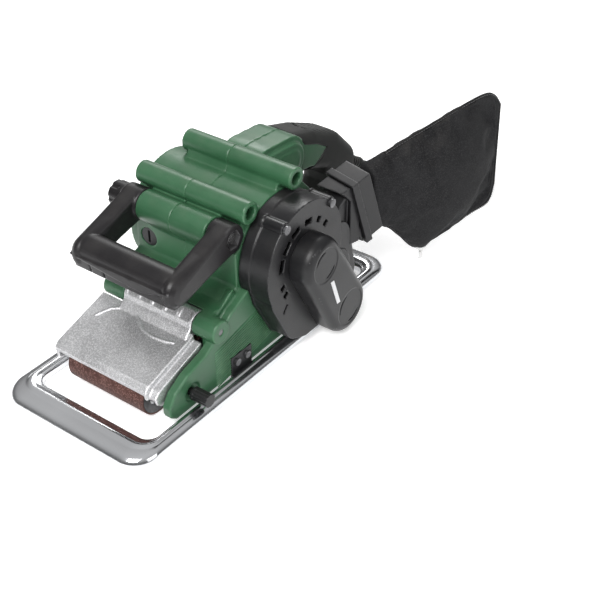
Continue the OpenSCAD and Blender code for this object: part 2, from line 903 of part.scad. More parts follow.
module dust_bag() color("#262626") {
    difference() {
        hull() {
            at_bag(2) polygon(bag_bend);
            at_bag(bag_half_t) polygon(bag_core);
            at_bag(12) polygon([[19, 66], [40, 60], [40, 118], [19, 118]]);
        }
        at_outlet() block([-collar_l, -60, -80], [60, 60, 80]);
    }
}

zip_at = [84, 16];
zip_slope = atan2(10.8, 90);
zip_pivot = [6.2, -6.7];

module zip_slider() color(steel) {
    at_bag(2.5) translate(zip_at) rotate(zip_slope) translate([2, -4.4]) square([8, 4]);
    difference() {
        at_bag(1.5) translate(zip_at + zip_pivot + [-1, -1]) square([2, 3.5]);
        at_bag(0.7) translate(zip_at + zip_pivot + [-2, -2]) square([4, 4.3]);
    }
    at_bag(1.5) translate(zip_at + zip_pivot) circle(0.8);
}

module zip_pull() color(steel) {
    difference() {
        at_bag(0.4) translate(zip_at + zip_pivot) {
            circle(2);
            translate([-2, -7.7]) square([4, 7.7]);
        }
        at_bag(1) translate(zip_at + zip_pivot) circle(0.8 + run);
    }
}

housing_left();
housing_right();
housing_screws();
motor_end_cover();
cover_screws();
dust_outlet();
belt_guard();
guard_label();
grip_cover();
switch_body();
brush_caps();
brush_holders();
carbon_brushes();
brush_springs();
field_stator();
motor_bearings();
drive_bearings();
base_frame();
sole_plate();
cork_pad();
sanding_belt();
drive_belt();
tension_spring();
lever_pin();
nose_hinge_pin();
sanding_frame();
frame_bracket();
frame_screws();
cord_gland();
cord_run();
cord_coil();
cord_tail();
cord_tie();
mains_plug();
plug_pins();
armature_shaft();
armature_core();
commutator();
cooling_fan();
motor_pulley();
drive_shaft();
drive_roller();
roller_sleeve();
driven_pulley();
front_yoke();
front_axle();
front_roller();
front_bearings();
tension_lever();
tracking_knob();
front_handle();
handle_bolt();
clamp_knob();
nose_cover();
switch_trigger();
lock_button();
bag_collar();
dust_bag();
zip_slider();
zip_pull();
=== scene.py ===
import json
import math

import bmesh
import bpy
from mathutils import Matrix, Vector


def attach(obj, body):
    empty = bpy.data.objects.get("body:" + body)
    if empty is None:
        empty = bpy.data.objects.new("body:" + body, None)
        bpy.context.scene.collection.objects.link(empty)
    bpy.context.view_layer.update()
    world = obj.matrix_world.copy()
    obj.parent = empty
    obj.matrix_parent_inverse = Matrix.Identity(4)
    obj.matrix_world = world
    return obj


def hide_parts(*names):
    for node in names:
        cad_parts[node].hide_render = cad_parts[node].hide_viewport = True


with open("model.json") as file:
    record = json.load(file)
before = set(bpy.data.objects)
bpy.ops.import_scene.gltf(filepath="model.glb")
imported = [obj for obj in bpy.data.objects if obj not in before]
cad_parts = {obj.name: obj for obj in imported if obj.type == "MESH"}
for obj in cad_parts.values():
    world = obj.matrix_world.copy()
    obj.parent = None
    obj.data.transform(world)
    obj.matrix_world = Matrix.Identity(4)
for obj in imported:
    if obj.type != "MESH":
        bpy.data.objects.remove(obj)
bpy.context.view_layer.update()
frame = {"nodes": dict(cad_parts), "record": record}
nodes = frame["nodes"]
record = frame["record"]
scene = bpy.context.scene
mm = 0.001
print("frame loaded")

# camera, from the front left and above
camera = {"turn": 36.6, "tilt": 35.9, "place": (0.5735, 0.518, 0.583), "lens": 70.56, "sensor": 36}


def aim(obj, direction):
    obj.rotation_mode = "QUATERNION"
    obj.rotation_quaternion = direction.to_track_quat("-Z", "Y")


def makeCamera():
    turn, tilt = math.radians(camera["turn"]), math.radians(camera["tilt"])
    look = Vector((-math.cos(tilt) * math.cos(turn), -math.cos(tilt) * math.sin(turn), -math.sin(tilt)))
    data = bpy.data.cameras.new("camera")
    data.lens = camera["lens"]
    data.sensor_width = camera["sensor"]
    eye = bpy.data.objects.new("camera", data)
    scene.collection.objects.link(eye)
    eye.location = camera["place"]
    aim(eye, look)
    scene.camera = eye


makeCamera()

# places shared with the machine's CAD, in millimetres; axes that lie along Y are (x, z)


def jointPlace(name):
    joint = next(j for j in record["behaviour"]["joints"] if j["name"] == name)
    return [value / mm for value in joint["pos_m"]]


pivotAt = jointPlace("front_handle_tilt")[::2]
motorAt = jointPlace("armature_spin")[::2]
coverFaceY = 78
guardFaceY = 97


# shader groups


def newGroup(name, inputs, outputs):
    tree = bpy.data.node_groups.new(name, "ShaderNodeTree")
    for label, value in inputs:
        socket = tree.interface.new_socket(label, in_out="INPUT", socket_type="NodeSocketFloat")
        socket.default_value = value
    for label in outputs:
        tree.interface.new_socket(label, in_out="OUTPUT", socket_type="NodeSocketFloat")
    return tree, tree.nodes.new("NodeGroupInput"), tree.nodes.new("NodeGroupOutput")


def mathNode(tree, operation, first, second, third=None):
    node = tree.nodes.new("ShaderNodeMath")
    node.operation = operation
    for socket, value in zip(node.inputs, (first, second, third)):
        if value is None:
            continue
        if isinstance(value, (int, float)):
            socket.default_value = value
        else:
            tree.links.new(value, socket)
    return node.outputs[0]


def noiseNode(tree, scale, detail):
    coords = tree.nodes.new("ShaderNodeTexCoord").outputs["Object"]
    node = tree.nodes.new("ShaderNodeTexNoise")
    node.inputs["Detail"].default_value = detail
    tree.links.new(coords, node.inputs["Vector"])
    if isinstance(scale, (int, float)):
        node.inputs["Scale"].default_value = scale
    else:
        tree.links.new(scale, node.inputs["Scale"])
    return node.outputs["Fac"]


def rampNode(tree, source, low, high, toLow=0.0, toHigh=1.0):
    node = tree.nodes.new("ShaderNodeMapRange")
    tree.links.new(source, node.inputs["Value"])
    for label, value in (("From Min", low), ("From Max", high), ("To Min", toLow), ("To Max", toHigh)):
        node.inputs[label].default_value = value
    return node.outputs["Result"]


def makeFineGrain():
    tree, given, result = newGroup("fineGrain", [("Scale", 1500)], ["Height", "Mottle"])
    fine = noiseNode(tree, given.outputs["Scale"], 2)
    coarse = noiseNode(tree, mathNode(tree, "MULTIPLY", given.outputs["Scale"], 0.02), 4)
    tree.links.new(fine, result.inputs["Height"])
    tree.links.new(rampNode(tree, coarse, 0.35, 0.65), result.inputs["Mottle"])
    return tree


def makeEdgeWear():
    tree, given, result = newGroup("edgeWear", [("Amount", 0.5), ("Breakup", 120)], ["Mask"])
    sharp = tree.nodes.new("ShaderNodeNewGeometry").outputs["Pointiness"]
    edge = rampNode(tree, sharp, 0.515, 0.60)
    patches = rampNode(tree, noiseNode(tree, given.outputs["Breakup"], 4), 0.35, 0.6, 0.35)
    mask = mathNode(tree, "MULTIPLY", mathNode(tree, "MULTIPLY", edge, patches), given.outputs["Amount"])
    tree.links.new(mask, result.inputs["Mask"])
    return tree


def makeDustFilm():
    tree, given, result = newGroup("dustFilm", [("Amount", 0.1)], ["Mask"])
    split = tree.nodes.new("ShaderNodeSeparateXYZ")
    tree.links.new(tree.nodes.new("ShaderNodeNewGeometry").outputs["Normal"], split.inputs[0])
    upward = rampNode(tree, split.outputs["Z"], 0.2, 1)
    patches = rampNode(tree, noiseNode(tree, 60, 5), 0.4, 0.7)
    mask = mathNode(tree, "MULTIPLY", mathNode(tree, "MULTIPLY", upward, patches), given.outputs["Amount"])
    tree.links.new(mask, result.inputs["Mask"])
    return tree


def makeSpeckle():
    tree, given, result = newGroup("speckle", [("Scale", 1400), ("Cover", 0.3)], ["Mask", "Height"])
    coords = tree.nodes.new("ShaderNodeTexCoord").outputs["Object"]
    cells = tree.nodes.new("ShaderNodeTexVoronoi")
    tree.links.new(coords, cells.inputs["Vector"])
    tree.links.new(given.outputs["Scale"], cells.inputs["Scale"])
    split = tree.nodes.new("ShaderNodeSeparateColor")
    tree.links.new(cells.outputs["Color"], split.inputs[0])
    picked = mathNode(tree, "LESS_THAN", split.outputs[0], given.outputs["Cover"])
    tree.links.new(picked, result.inputs["Mask"])
    tree.links.new(mathNode(tree, "SUBTRACT", 1, cells.outputs["Distance"]), result.inputs["Height"])
    return tree


groups = {g.name: g for g in (makeFineGrain(), makeEdgeWear(), makeDustFilm(), makeSpeckle())}


def placeGroup(tree, name, **values):
    node = tree.nodes.new("ShaderNodeGroup")
    node.node_tree = groups[name]
    for label, value in values.items():
        node.inputs[label].default_value = value
    return node.outputs


def blendColour(tree, amount, first, second):
    node = tree.nodes.new("ShaderNodeMix")
    node.data_type = "RGBA"
    tree.links.new(amount, node.inputs[0])
    for socket, value in ((node.inputs[6], first), (node.inputs[7], second)):
        if isinstance(value, tuple):
            socket.default_value = (*value, 1)
        else:
            tree.links.new(value, socket)
    return node.outputs[2]


# finishes: colour, its mottled twin, worn edges, grain per metre, bump in millimetres

finishTable = {
    "green_plastic": {
        "colour": (0.027, 0.098, 0.044), "twin": (0.033, 0.114, 0.052), "worn": (0.13, 0.30, 0.16),
        "rough": 0.40, "grain": 1900, "bump": 0.05, "wear": 0.45, "dust": 0.05,
    },
    "black_plastic": {
        "colour": (0.008, 0.008, 0.009), "twin": (0.012, 0.012, 0.013), "worn": (0.10, 0.10, 0.105),
        "rough": 0.36, "grain": 1700, "bump": 0.05, "wear": 0.7, "dust": 0.02, "shine": 0.34,
    },
    "handle_plastic": {
        "colour": (0.009, 0.008, 0.009), "twin": (0.013, 0.012, 0.013), "worn": (0.17, 0.17, 0.175),
        "rough": 0.38, "grain": 1500, "bump": 0.06, "wear": 1.0, "dust": 0.02, "shine": 0.36,
    },
    "grip_rubber": {
        "colour": (0.009, 0.010, 0.009), "twin": (0.014, 0.015, 0.014), "worn": (0.05, 0.05, 0.05),
        "rough": 0.55, "grain": 1300, "bump": 0.05, "wear": 0.5, "dust": 0.04, "shine": 0.35,
    },
    "cord_rubber": {
        "colour": (0.012, 0.012, 0.012), "twin": (0.018, 0.018, 0.018), "worn": (0.04, 0.04, 0.04),
        "rough": 0.5, "grain": 900, "bump": 0.04, "wear": 0.2, "dust": 0.06, "shine": 0.4,
    },
    "cast_cover": {
        "colour": (0.50, 0.50, 0.51), "twin": (0.58, 0.58, 0.59), "worn": (0.95, 0.95, 0.96),
        "rough": 0.42, "grain": 1600, "bump": 0.16, "wear": 1.6, "dust": 0.0, "metal": 0.9,
        "speck": (0.78, 0.78, 0.79), "speckScale": 1900, "speckCover": 0.35,
    },
    "cast_aluminium": {
        "colour": (0.55, 0.56, 0.57), "twin": (0.62, 0.63, 0.64), "worn": (0.85, 0.85, 0.86),
        "rough": 0.45, "grain": 700, "bump": 0.1, "wear": 0.6, "dust": 0.05, "metal": 1,
    },
    "plated_sheet": {
        "colour": (0.66, 0.67, 0.69), "twin": (0.76, 0.77, 0.79), "worn": (0.92, 0.92, 0.93),
        "rough": 0.17, "grain": 260, "bump": 0.02, "wear": 0.4, "dust": 0.02, "metal": 1,
    },
    "zinc_steel": {
        "colour": (0.48, 0.48, 0.49), "twin": (0.58, 0.58, 0.57), "worn": (0.80, 0.80, 0.80),
        "rough": 0.30, "grain": 800, "bump": 0.03, "wear": 0.5, "dust": 0.03, "metal": 1,
    },
    "blackened_steel": {
        "colour": (0.035, 0.035, 0.037), "twin": (0.05, 0.05, 0.052), "worn": (0.25, 0.25, 0.26),
        "rough": 0.38, "grain": 900, "bump": 0.03, "wear": 0.6, "dust": 0.02, "metal": 0.8,
    },
    "ground_steel": {
        "colour": (0.50, 0.51, 0.53), "twin": (0.58, 0.59, 0.61), "worn": (0.80, 0.80, 0.82),
        "rough": 0.26, "grain": 1200, "bump": 0.02, "wear": 0.4, "dust": 0.02, "metal": 1,
    },
    "lamination": {
        "colour": (0.12, 0.10, 0.09), "twin": (0.18, 0.15, 0.13), "worn": (0.4, 0.4, 0.4),
        "rough": 0.5, "grain": 900, "bump": 0.05, "wear": 0.4, "dust": 0.02, "metal": 0.7,
    },
    "copper": {
        "colour": (0.62, 0.28, 0.16), "twin": (0.70, 0.36, 0.22), "worn": (0.85, 0.5, 0.35),
        "rough": 0.3, "grain": 900, "bump": 0.02, "wear": 0.4, "dust": 0.02, "metal": 1,
    },
    "brass": {
        "colour": (0.60, 0.42, 0.17), "twin": (0.68, 0.50, 0.23), "worn": (0.85, 0.7, 0.4),
        "rough": 0.3, "grain": 900, "bump": 0.02, "wear": 0.4, "dust": 0.02, "metal": 1,
    },
    "carbon": {
        "colour": (0.02, 0.02, 0.02), "twin": (0.035, 0.035, 0.035), "worn": (0.1, 0.1, 0.1),
        "rough": 0.55, "grain": 1500, "bump": 0.05, "wear": 0.3, "dust": 0.0,
    },
    "graphite_pad": {
        "colour": (0.03, 0.03, 0.032), "twin": (0.05, 0.05, 0.052), "worn": (0.15, 0.15, 0.15),
        "rough": 0.5, "grain": 1400, "bump": 0.08, "wear": 0.3, "dust": 0.0,
    },
    "abrasive": {
        "colour": (0.045, 0.016, 0.013), "twin": (0.075, 0.030, 0.024), "worn": (0.14, 0.08, 0.07),
        "rough": 0.75, "grain": 1500, "bump": 0.35, "wear": 0.2, "dust": 0.0, "shine": 0.3,
        "speck": (0.20, 0.10, 0.085), "speckScale": 1500, "speckCover": 0.22,
    },
    "bag_cloth": {
        "colour": (0.008, 0.008, 0.009), "twin": (0.017, 0.017, 0.018), "worn": (0.04, 0.04, 0.04),
        "rough": 0.8, "grain": 2200, "bump": 0.14, "wear": 0.25, "dust": 0.03, "shine": 0.15,
        "speck": (0.028, 0.028, 0.029), "speckScale": 2300, "speckCover": 0.22,
    },
    "thread": {
        "colour": (0.07, 0.07, 0.072), "twin": (0.10, 0.10, 0.10), "worn": (0.16, 0.16, 0.16),
        "rough": 0.7, "grain": 2500, "bump": 0.04, "wear": 0.2, "dust": 0.05, "shine": 0.3,
    },
    "tie_band": {
        "colour": (0.02, 0.02, 0.02), "twin": (0.03, 0.03, 0.03), "worn": (0.08, 0.08, 0.08),
        "rough": 0.5, "grain": 900, "bump": 0.05, "wear": 0.3, "dust": 0.02,
    },
    "label": {
        "colour": (0.62, 0.62, 0.63), "twin": (0.70, 0.70, 0.71), "worn": (0.8, 0.8, 0.8),
        "rough": 0.3, "grain": 500, "bump": 0.01, "wear": 0.1, "dust": 0.05,
    },
}


def makeFinish(name, f):
    material = bpy.data.materials.new(name)
    material.use_nodes = True
    tree = material.node_tree
    shader = tree.nodes["Principled BSDF"]
    shader.inputs["Metallic"].default_value = f.get("metal", 0)
    shader.inputs["Specular IOR Level"].default_value = f.get("shine", 0.5)
    grain = placeGroup(tree, "fineGrain", Scale=f["grain"])
    wear = placeGroup(tree, "edgeWear", Amount=f["wear"])
    dust = placeGroup(tree, "dustFilm", Amount=f["dust"])
    colour = blendColour(tree, grain["Mottle"], f["colour"], f["twin"])
    height = grain["Height"]
    if "speck" in f:
        speck = placeGroup(tree, "speckle", Scale=f["speckScale"], Cover=f["speckCover"])
        colour = blendColour(tree, speck["Mask"], colour, f["speck"])
        height = mathNode(tree, "MULTIPLY_ADD", speck["Height"], 0.6, height)
    colour = blendColour(tree, wear["Mask"], colour, f["worn"])
    colour = blendColour(tree, dust["Mask"], colour, (0.42, 0.38, 0.33))
    tree.links.new(colour, shader.inputs["Base Color"])
    spread = rampNode(tree, grain["Mottle"], 0, 1, f["rough"] - 0.05, f["rough"] + 0.06)
    smoother = mathNode(tree, "MULTIPLY_ADD", wear["Mask"], -0.18, spread)
    tree.links.new(smoother, shader.inputs["Roughness"])
    bump = tree.nodes.new("ShaderNodeBump")
    bump.inputs["Distance"].default_value = f["bump"] * mm
    bump.inputs["Strength"].default_value = 0.8
    tree.links.new(height, bump.inputs["Height"])
    tree.links.new(bump.outputs["Normal"], shader.inputs["Normal"])
    return material


finishes = {name: makeFinish(name, f) for name, f in finishTable.items()}
print("finishes made:", len(finishes))

# floor and light

studio = {
    "floorSize": 8, "floorDrop": 0.0004, "floorColour": (0.9, 0.9, 0.9), "floorGlow": 0.42,
    "lamps": [
        {"name": "frontKey", "at": (1.25, 0.35, 1.45), "size": 0.9, "power": 34},
        {"name": "sideFill", "at": (0.1, 1.7, 0.8), "size": 1.1, "power": 7},
        {"name": "backRim", "at": (-1.3, -0.9, 1.4), "size": 0.8, "power": 16},
    ],
}


def makeFloor():
    mesh = bpy.data.meshes.new("floor")
    half = studio["floorSize"] / 2
    z = -studio["floorDrop"]
    corners = [(-half, -half, z), (half, -half, z), (half, half, z), (-half, half, z)]
    mesh.from_pydata(corners, [], [(0, 1, 2, 3)])
    floor = bpy.data.objects.new("floor", mesh)
    scene.collection.objects.link(floor)
    pale = bpy.data.materials.new("paleFloor")
    pale.use_nodes = True
    pale.node_tree.nodes["Principled BSDF"].inputs["Base Color"].default_value = (*studio["floorColour"], 1)
    pale.node_tree.nodes["Principled BSDF"].inputs["Roughness"].default_value = 0.9
    pale.node_tree.nodes["Principled BSDF"].inputs["Specular IOR Level"].default_value = 0.1
    pale.node_tree.nodes["Principled BSDF"].inputs["Emission Color"].default_value = (1, 1, 1, 1)
    pale.node_tree.nodes["Principled BSDF"].inputs["Emission Strength"].default_value = studio["floorGlow"]
    mesh.materials.append(pale)


def makeLight():
    # soft sky: darker just above the horizon, so that bright metal has something to reflect
    sky = bpy.data.worlds.new("studio")
    sky.use_nodes = True
    tree = sky.node_tree
    split = tree.nodes.new("ShaderNodeSeparateXYZ")
    tree.links.new(tree.nodes.new("ShaderNodeTexCoord").outputs["Generated"], split.inputs[0])
    ramp = tree.nodes.new("ShaderNodeValToRGB")
    stops = ((0.0, 0.34), (0.10, 0.12), (0.35, 0.20), (0.62, 0.42), (1.0, 0.62))
    for place, level in stops[1:-1]:
        ramp.color_ramp.elements.new(place)
    for element, (place, level) in zip(ramp.color_ramp.elements, stops):
        element.position = place
        element.color = (level, level, level, 1)
    tree.links.new(split.outputs["Z"], ramp.inputs[0])
    tree.links.new(ramp.outputs[0], tree.nodes["Background"].inputs["Color"])
    tree.nodes["Background"].inputs["Strength"].default_value = 1.05
    scene.world = sky
    for lamp in studio["lamps"]:
        data = bpy.data.lights.new(lamp["name"], "AREA")
        data.size = lamp["size"]
        data.energy = lamp["power"]
        obj = bpy.data.objects.new(lamp["name"], data)
        scene.collection.objects.link(obj)
        obj.location = lamp["at"]
        aim(obj, Vector((0, 0, 0.06)) - Vector(lamp["at"]))


makeFloor()
makeLight()
scene.view_settings.view_transform = "Standard"
print("stage made")

# making shapes; all lengths that go in are millimetres


def newObject(name, mesh):
    obj = bpy.data.objects.new(name, mesh)
    scene.collection.objects.link(obj)
    return obj


def objectFrom(name, bm):
    mesh = bpy.data.meshes.new(name)
    bm.to_mesh(mesh)
    bm.free()
    return newObject(name, mesh)


def applied(obj):
    bpy.context.view_layer.update()
    evaluated = obj.evaluated_get(bpy.context.evaluated_depsgraph_get())
    mesh = bpy.data.meshes.new_from_object(evaluated)
    obj.modifiers.clear()
    if obj.type == "MESH":
        obj.data = mesh
        return obj
    name = obj.name
    bpy.data.objects.remove(obj)
    return newObject(name, mesh)


def cadCopy(*names):
    bm = bmesh.new()
    for name in names:
        bm.from_mesh(nodes[name].data)
    bmesh.ops.remove_doubles(bm, verts=bm.verts, dist=0.002 * mm)
    return bm


def joined(parts):
    whole = bmesh.new()
    for part in parts:
        mesh = bpy.data.meshes.new("part")
        part.to_mesh(mesh)
        part.free()
        whole.from_mesh(mesh)
        bpy.data.meshes.remove(mesh)
    return whole


def slab(*discs, steps=36, rows=4):
    # hull of discs whose axes lie along Y: x, z, radius, y from, y to, rounding outward, rounding sideways
    bm = bmesh.new()
    for x, z, radius, y0, y1, outward, sideways in discs:
        middle, half = (y0 + y1) / 2, (y1 - y0) / 2
        for i in range(steps):
            angle = 2 * math.pi * i / steps
            for side in (-1, 1):
                for k in range(rows):
                    lean = math.pi / 2 * k / (rows - 1)
                    r = radius - outward + outward * math.cos(lean)
                    y = middle + side * (half - sideways + sideways * math.sin(lean))
                    bm.verts.new(Vector((x + r * math.cos(angle), y, z + r * math.sin(angle))) * mm)
    return hullOf(bm)


def hullOf(bm):
    made = bmesh.ops.convex_hull(bm, input=bm.verts)
    loose = {v for v in made["geom_interior"] + made["geom_unused"] if isinstance(v, bmesh.types.BMVert)}
    bmesh.ops.delete(bm, geom=list(loose), context="VERTS")
    bmesh.ops.recalc_face_normals(bm, faces=bm.faces)
    return bm


def pointHull(points):
    bm = bmesh.new()
    for p in points:
        bm.verts.new(Vector(p) * mm)
    return hullOf(bm)


def block(low, high):
    xs, ys, zs = zip(low, high)
    return pointHull([(x, y, z) for x in xs for y in ys for z in zs])


def prism(outline, y0, y1):
    # straight solid along Y from an outline of (x, z) points
    bm = bmesh.new()
    near = [bm.verts.new(Vector((x, y0, z)) * mm) for x, z in outline]
    far = [bm.verts.new(Vector((x, y1, z)) * mm) for x, z in outline]
    bm.faces.new(near)
    bm.faces.new(far[::-1])
    for i in range(len(outline)):
        j = (i + 1) % len(outline)
        bm.faces.new((near[i], far[i], far[j], near[j]))
    bmesh.ops.recalc_face_normals(bm, faces=bm.faces)
    return bm


def lathe(profile, steps=32):
    # closed turned shape round Z; the profile's ends lie on the axis
    bm = bmesh.new()
    rings = []
    for r, z in profile:
        if r == 0:
            rings.append([bm.verts.new((0, 0, z * mm))])
            continue
        turns = [2 * math.pi * i / steps for i in range(steps)]
        rings.append([bm.verts.new((r * mm * math.cos(a), r * mm * math.sin(a), z * mm)) for a in turns])
    for low, high in zip(rings, rings[1:]):
        for i in range(steps):
            j = (i + 1) % steps
            corners = [low[i % len(low)], low[j % len(low)], high[j % len(high)], high[i % len(high)]]
            bm.faces.new(list(dict.fromkeys(corners)))
    bmesh.ops.recalc_face_normals(bm, faces=bm.faces)
    return bm


def turned(bm, matrix):
    bmesh.ops.transform(bm, matrix=matrix, verts=bm.verts)
    return bm


def rod(radius, start, end, steps=32):
    # straight rod between two points, in millimetres
    line = Vector(end) - Vector(start)
    bm = lathe([(0, 0), (radius, 0), (radius, line.length), (0, line.length)], steps)
    rotation = line.to_track_quat("Z", "Y").to_matrix().to_4x4()
    return turned(bm, Matrix.Translation(Vector(start) * mm) @ rotation)


def soften(name, bm, voxel=0.8, passes=4, keep=1.0):
    obj = objectFrom(name, bm)
    skin = obj.modifiers.new("skin", "REMESH")
    skin.mode = "VOXEL"
    skin.voxel_size = voxel * mm
    skin.use_smooth_shade = True
    soft = obj.modifiers.new("soft", "SMOOTH")
    soft.iterations = passes
    soft.factor = 0.5
    if keep < 1:
        obj.modifiers.new("thin", "DECIMATE").ratio = keep
    return applied(obj)


def carved(obj, cutter):
    tool = objectFrom("cutter", cutter) if isinstance(cutter, bmesh.types.BMesh) else cutter
    cut = obj.modifiers.new("cut", "BOOLEAN")
    cut.operation = "DIFFERENCE"
    cut.solver = "EXACT"
    cut.object = tool
    applied(obj)
    bpy.data.objects.remove(tool)
    return obj


def finished(obj, finish, body="machine", stands=(), smooth=True, look=None):
    obj.data.materials.clear()
    obj.data.materials.append(finishes[look or finish])
    if obj.type == "MESH" and smooth:
        obj.data.shade_smooth()
    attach(obj, body)
    if stands:
        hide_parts(*stands)
    return obj


# what repeats: one part set on points, each with its own turn and size


def makeRepeatTree():
    tree = bpy.data.node_groups.new("repeatOnPoints", "GeometryNodeTree")
    face = tree.interface
    face.new_socket("Points", in_out="INPUT", socket_type="NodeSocketGeometry")
    face.new_socket("Part", in_out="INPUT", socket_type="NodeSocketObject")
    face.new_socket("Size", in_out="INPUT", socket_type="NodeSocketFloat").default_value = 1
    face.new_socket("Finish", in_out="INPUT", socket_type="NodeSocketMaterial")
    face.new_socket("Pieces", in_out="OUTPUT", socket_type="NodeSocketGeometry")
    given, result = tree.nodes.new("NodeGroupInput"), tree.nodes.new("NodeGroupOutput")
    part = tree.nodes.new("GeometryNodeObjectInfo")
    place = tree.nodes.new("GeometryNodeInstanceOnPoints")
    realize = tree.nodes.new("GeometryNodeRealizeInstances")
    paint = tree.nodes.new("GeometryNodeSetMaterial")
    toTurn = tree.nodes.new("FunctionNodeEulerToRotation")
    scale = tree.nodes.new("ShaderNodeVectorMath")
    scale.operation = "SCALE"
    for label, target in (("turn", toTurn.inputs[0]), ("size", scale.inputs[0])):
        stored = tree.nodes.new("GeometryNodeInputNamedAttribute")
        stored.data_type = "FLOAT_VECTOR"
        stored.inputs["Name"].default_value = label
        tree.links.new(stored.outputs["Attribute"], target)
    tree.links.new(given.outputs["Size"], scale.inputs["Scale"])
    tree.links.new(given.outputs["Points"], place.inputs["Points"])
    tree.links.new(given.outputs["Part"], part.inputs["Object"])
    tree.links.new(part.outputs["Geometry"], place.inputs["Instance"])
    tree.links.new(toTurn.outputs[0], place.inputs["Rotation"])
    tree.links.new(scale.outputs[0], place.inputs["Scale"])
    tree.links.new(place.outputs[0], realize.inputs[0])
    tree.links.new(realize.outputs[0], paint.inputs["Geometry"])
    tree.links.new(given.outputs["Finish"], paint.inputs["Material"])
    tree.links.new(paint.outputs[0], result.inputs[0])
    return tree


repeatTree = makeRepeatTree()
inputNames = {s.name: s.identifier for s in repeatTree.interface.items_tree if s.in_out == "INPUT"}


def repeated(name, part, spots, finish, body="machine", stands=(), size=1.0, smooth=True, look=None):
    # spots: place in millimetres, turn in radians, size along the part's own axes
    mesh = bpy.data.meshes.new(name)
    mesh.from_pydata([Vector(place) * mm for place, turn, scale in spots], [], [])
    for label, column in (("turn", 1), ("size", 2)):
        stored = mesh.attributes.new(label, "FLOAT_VECTOR", "POINT")
        for i, spot in enumerate(spots):
            stored.data[i].vector = spot[column]
    obj = newObject(name, mesh)
    source = objectFrom("source", part)
    grid = obj.modifiers.new("repeat", "NODES")
    grid.node_group = repeatTree
    grid[inputNames["Part"]] = source
    grid[inputNames["Size"]] = size
    grid[inputNames["Finish"]] = finishes[look or finish]
    applied(obj)
    bpy.data.objects.remove(source)
    return finished(obj, finish, body, stands, smooth, look)


# mains cord: the free run, a coil of two layers and the end that climbs to the plug

cordSpec = {
    "diameter": 7.0, "lift": 1.2, "coilAt": (-322, 25), "outer": 48.0, "pitch": 7.0,
    "layerTurns": 3, "climbTurns": 1, "lastTurns": 0.5, "perTurn": 18,
    "run": [
        (-214, 0, 56), (-226, 0, 48.85), (-237, -1.5, 41.5), (-247, -4, 34), (-256, -7.5, 26),
        (-265, -11, 18), (-276, -15.5, 10.5), (-289, -19.5, 6.2), (-305, -22.3, 4.7), (-322, -23, 4.7),
    ],
    "tail": [
        (-322, 73, 11.7), (-308, 71.5, 12.5), (-296, 67, 15), (-287, 60, 19), (-283, 52, 22.5),
        (-282, 45, 23.4),
    ],
}


def coilPoints():
    s = cordSpec
    low = s["lift"] + s["diameter"] / 2
    inner = s["outer"] - s["pitch"] * s["layerTurns"]
    climbEnd = s["layerTurns"] + s["climbTurns"]
    total = climbEnd + s["layerTurns"] + s["lastTurns"]
    points = []
    for i in range(1, int(total * s["perTurn"])):
        turn = i / s["perTurn"]
        r, z = s["outer"], low + s["pitch"]
        if turn < s["layerTurns"]:
            r, z = s["outer"] - s["pitch"] * turn, low
        elif turn < climbEnd:
            share = (turn - s["layerTurns"]) / s["climbTurns"]
            r, z = inner, low + s["pitch"] * (1 - math.cos(math.pi * share)) / 2
        elif turn < climbEnd + s["layerTurns"]:
            r = inner + s["pitch"] * (turn - climbEnd)
        angle = -math.pi / 2 - 2 * math.pi * turn
        points.append((s["coilAt"][0] + r * math.cos(angle), s["coilAt"][1] + r * math.sin(angle), z))
    return points


def makeCord():
    s = cordSpec
    points = [Vector(p) * mm for p in s["run"] + coilPoints() + s["tail"]]
    curve = bpy.data.curves.new("mainsCord", "CURVE")
    curve.dimensions = "3D"
    curve.resolution_u = 4
    curve.bevel_depth = s["diameter"] / 2 * mm
    curve.bevel_resolution = 4
    curve.use_fill_caps = True
    spline = curve.splines.new("BEZIER")
    spline.bezier_points.add(len(points) - 1)
    for knot, p in zip(spline.bezier_points, points):
        knot.co = p
        knot.handle_left_type = knot.handle_right_type = "AUTO"
    cord = newObject("mainsCord", curve)
    finished(cord, "cord_rubber", "machine", ("cord_run", "cord_coil", "cord_tail"))
    length = sum((b - a).length for a, b in zip(points, points[1:]))
    print("cord length", round(length, 3))
    return cord, points[0], length


def makePlug():
    # flattened body that narrows to the cord's end
    bm = bmesh.new()
    sections = [(45.5, 5.2, 5.0), (42, 6.5, 6.2), (38, 10, 7.2), (33, 15, 7.8), (24, 17.4, 8), (12, 17.6, 8),
                (7, 17.2, 7.8), (5, 16, 7)]
    rings = []
    for y, wide, tall in sections:
        ring = []
        for i in range(40):
            a = 2 * math.pi * i / 40
            x = wide * math.copysign(abs(math.cos(a)) ** 0.7, math.cos(a))
            z = tall * math.copysign(abs(math.sin(a)) ** 0.7, math.sin(a))
            ring.append(bm.verts.new(Vector((-282 + x, y, 23.4 + z)) * mm))
        rings.append(ring)
    for a, b in zip(rings, rings[1:]):
        for i in range(40):
            bm.faces.new((a[i], a[(i + 1) % 40], b[(i + 1) % 40], b[i]))
    bm.faces.new(rings[0])
    bm.faces.new(rings[-1])
    bmesh.ops.recalc_face_normals(bm, faces=bm.faces)
    return finished(soften("mainsPlug", bm, 0.6, 3), "cord_rubber", "machine", ("mains_plug",))


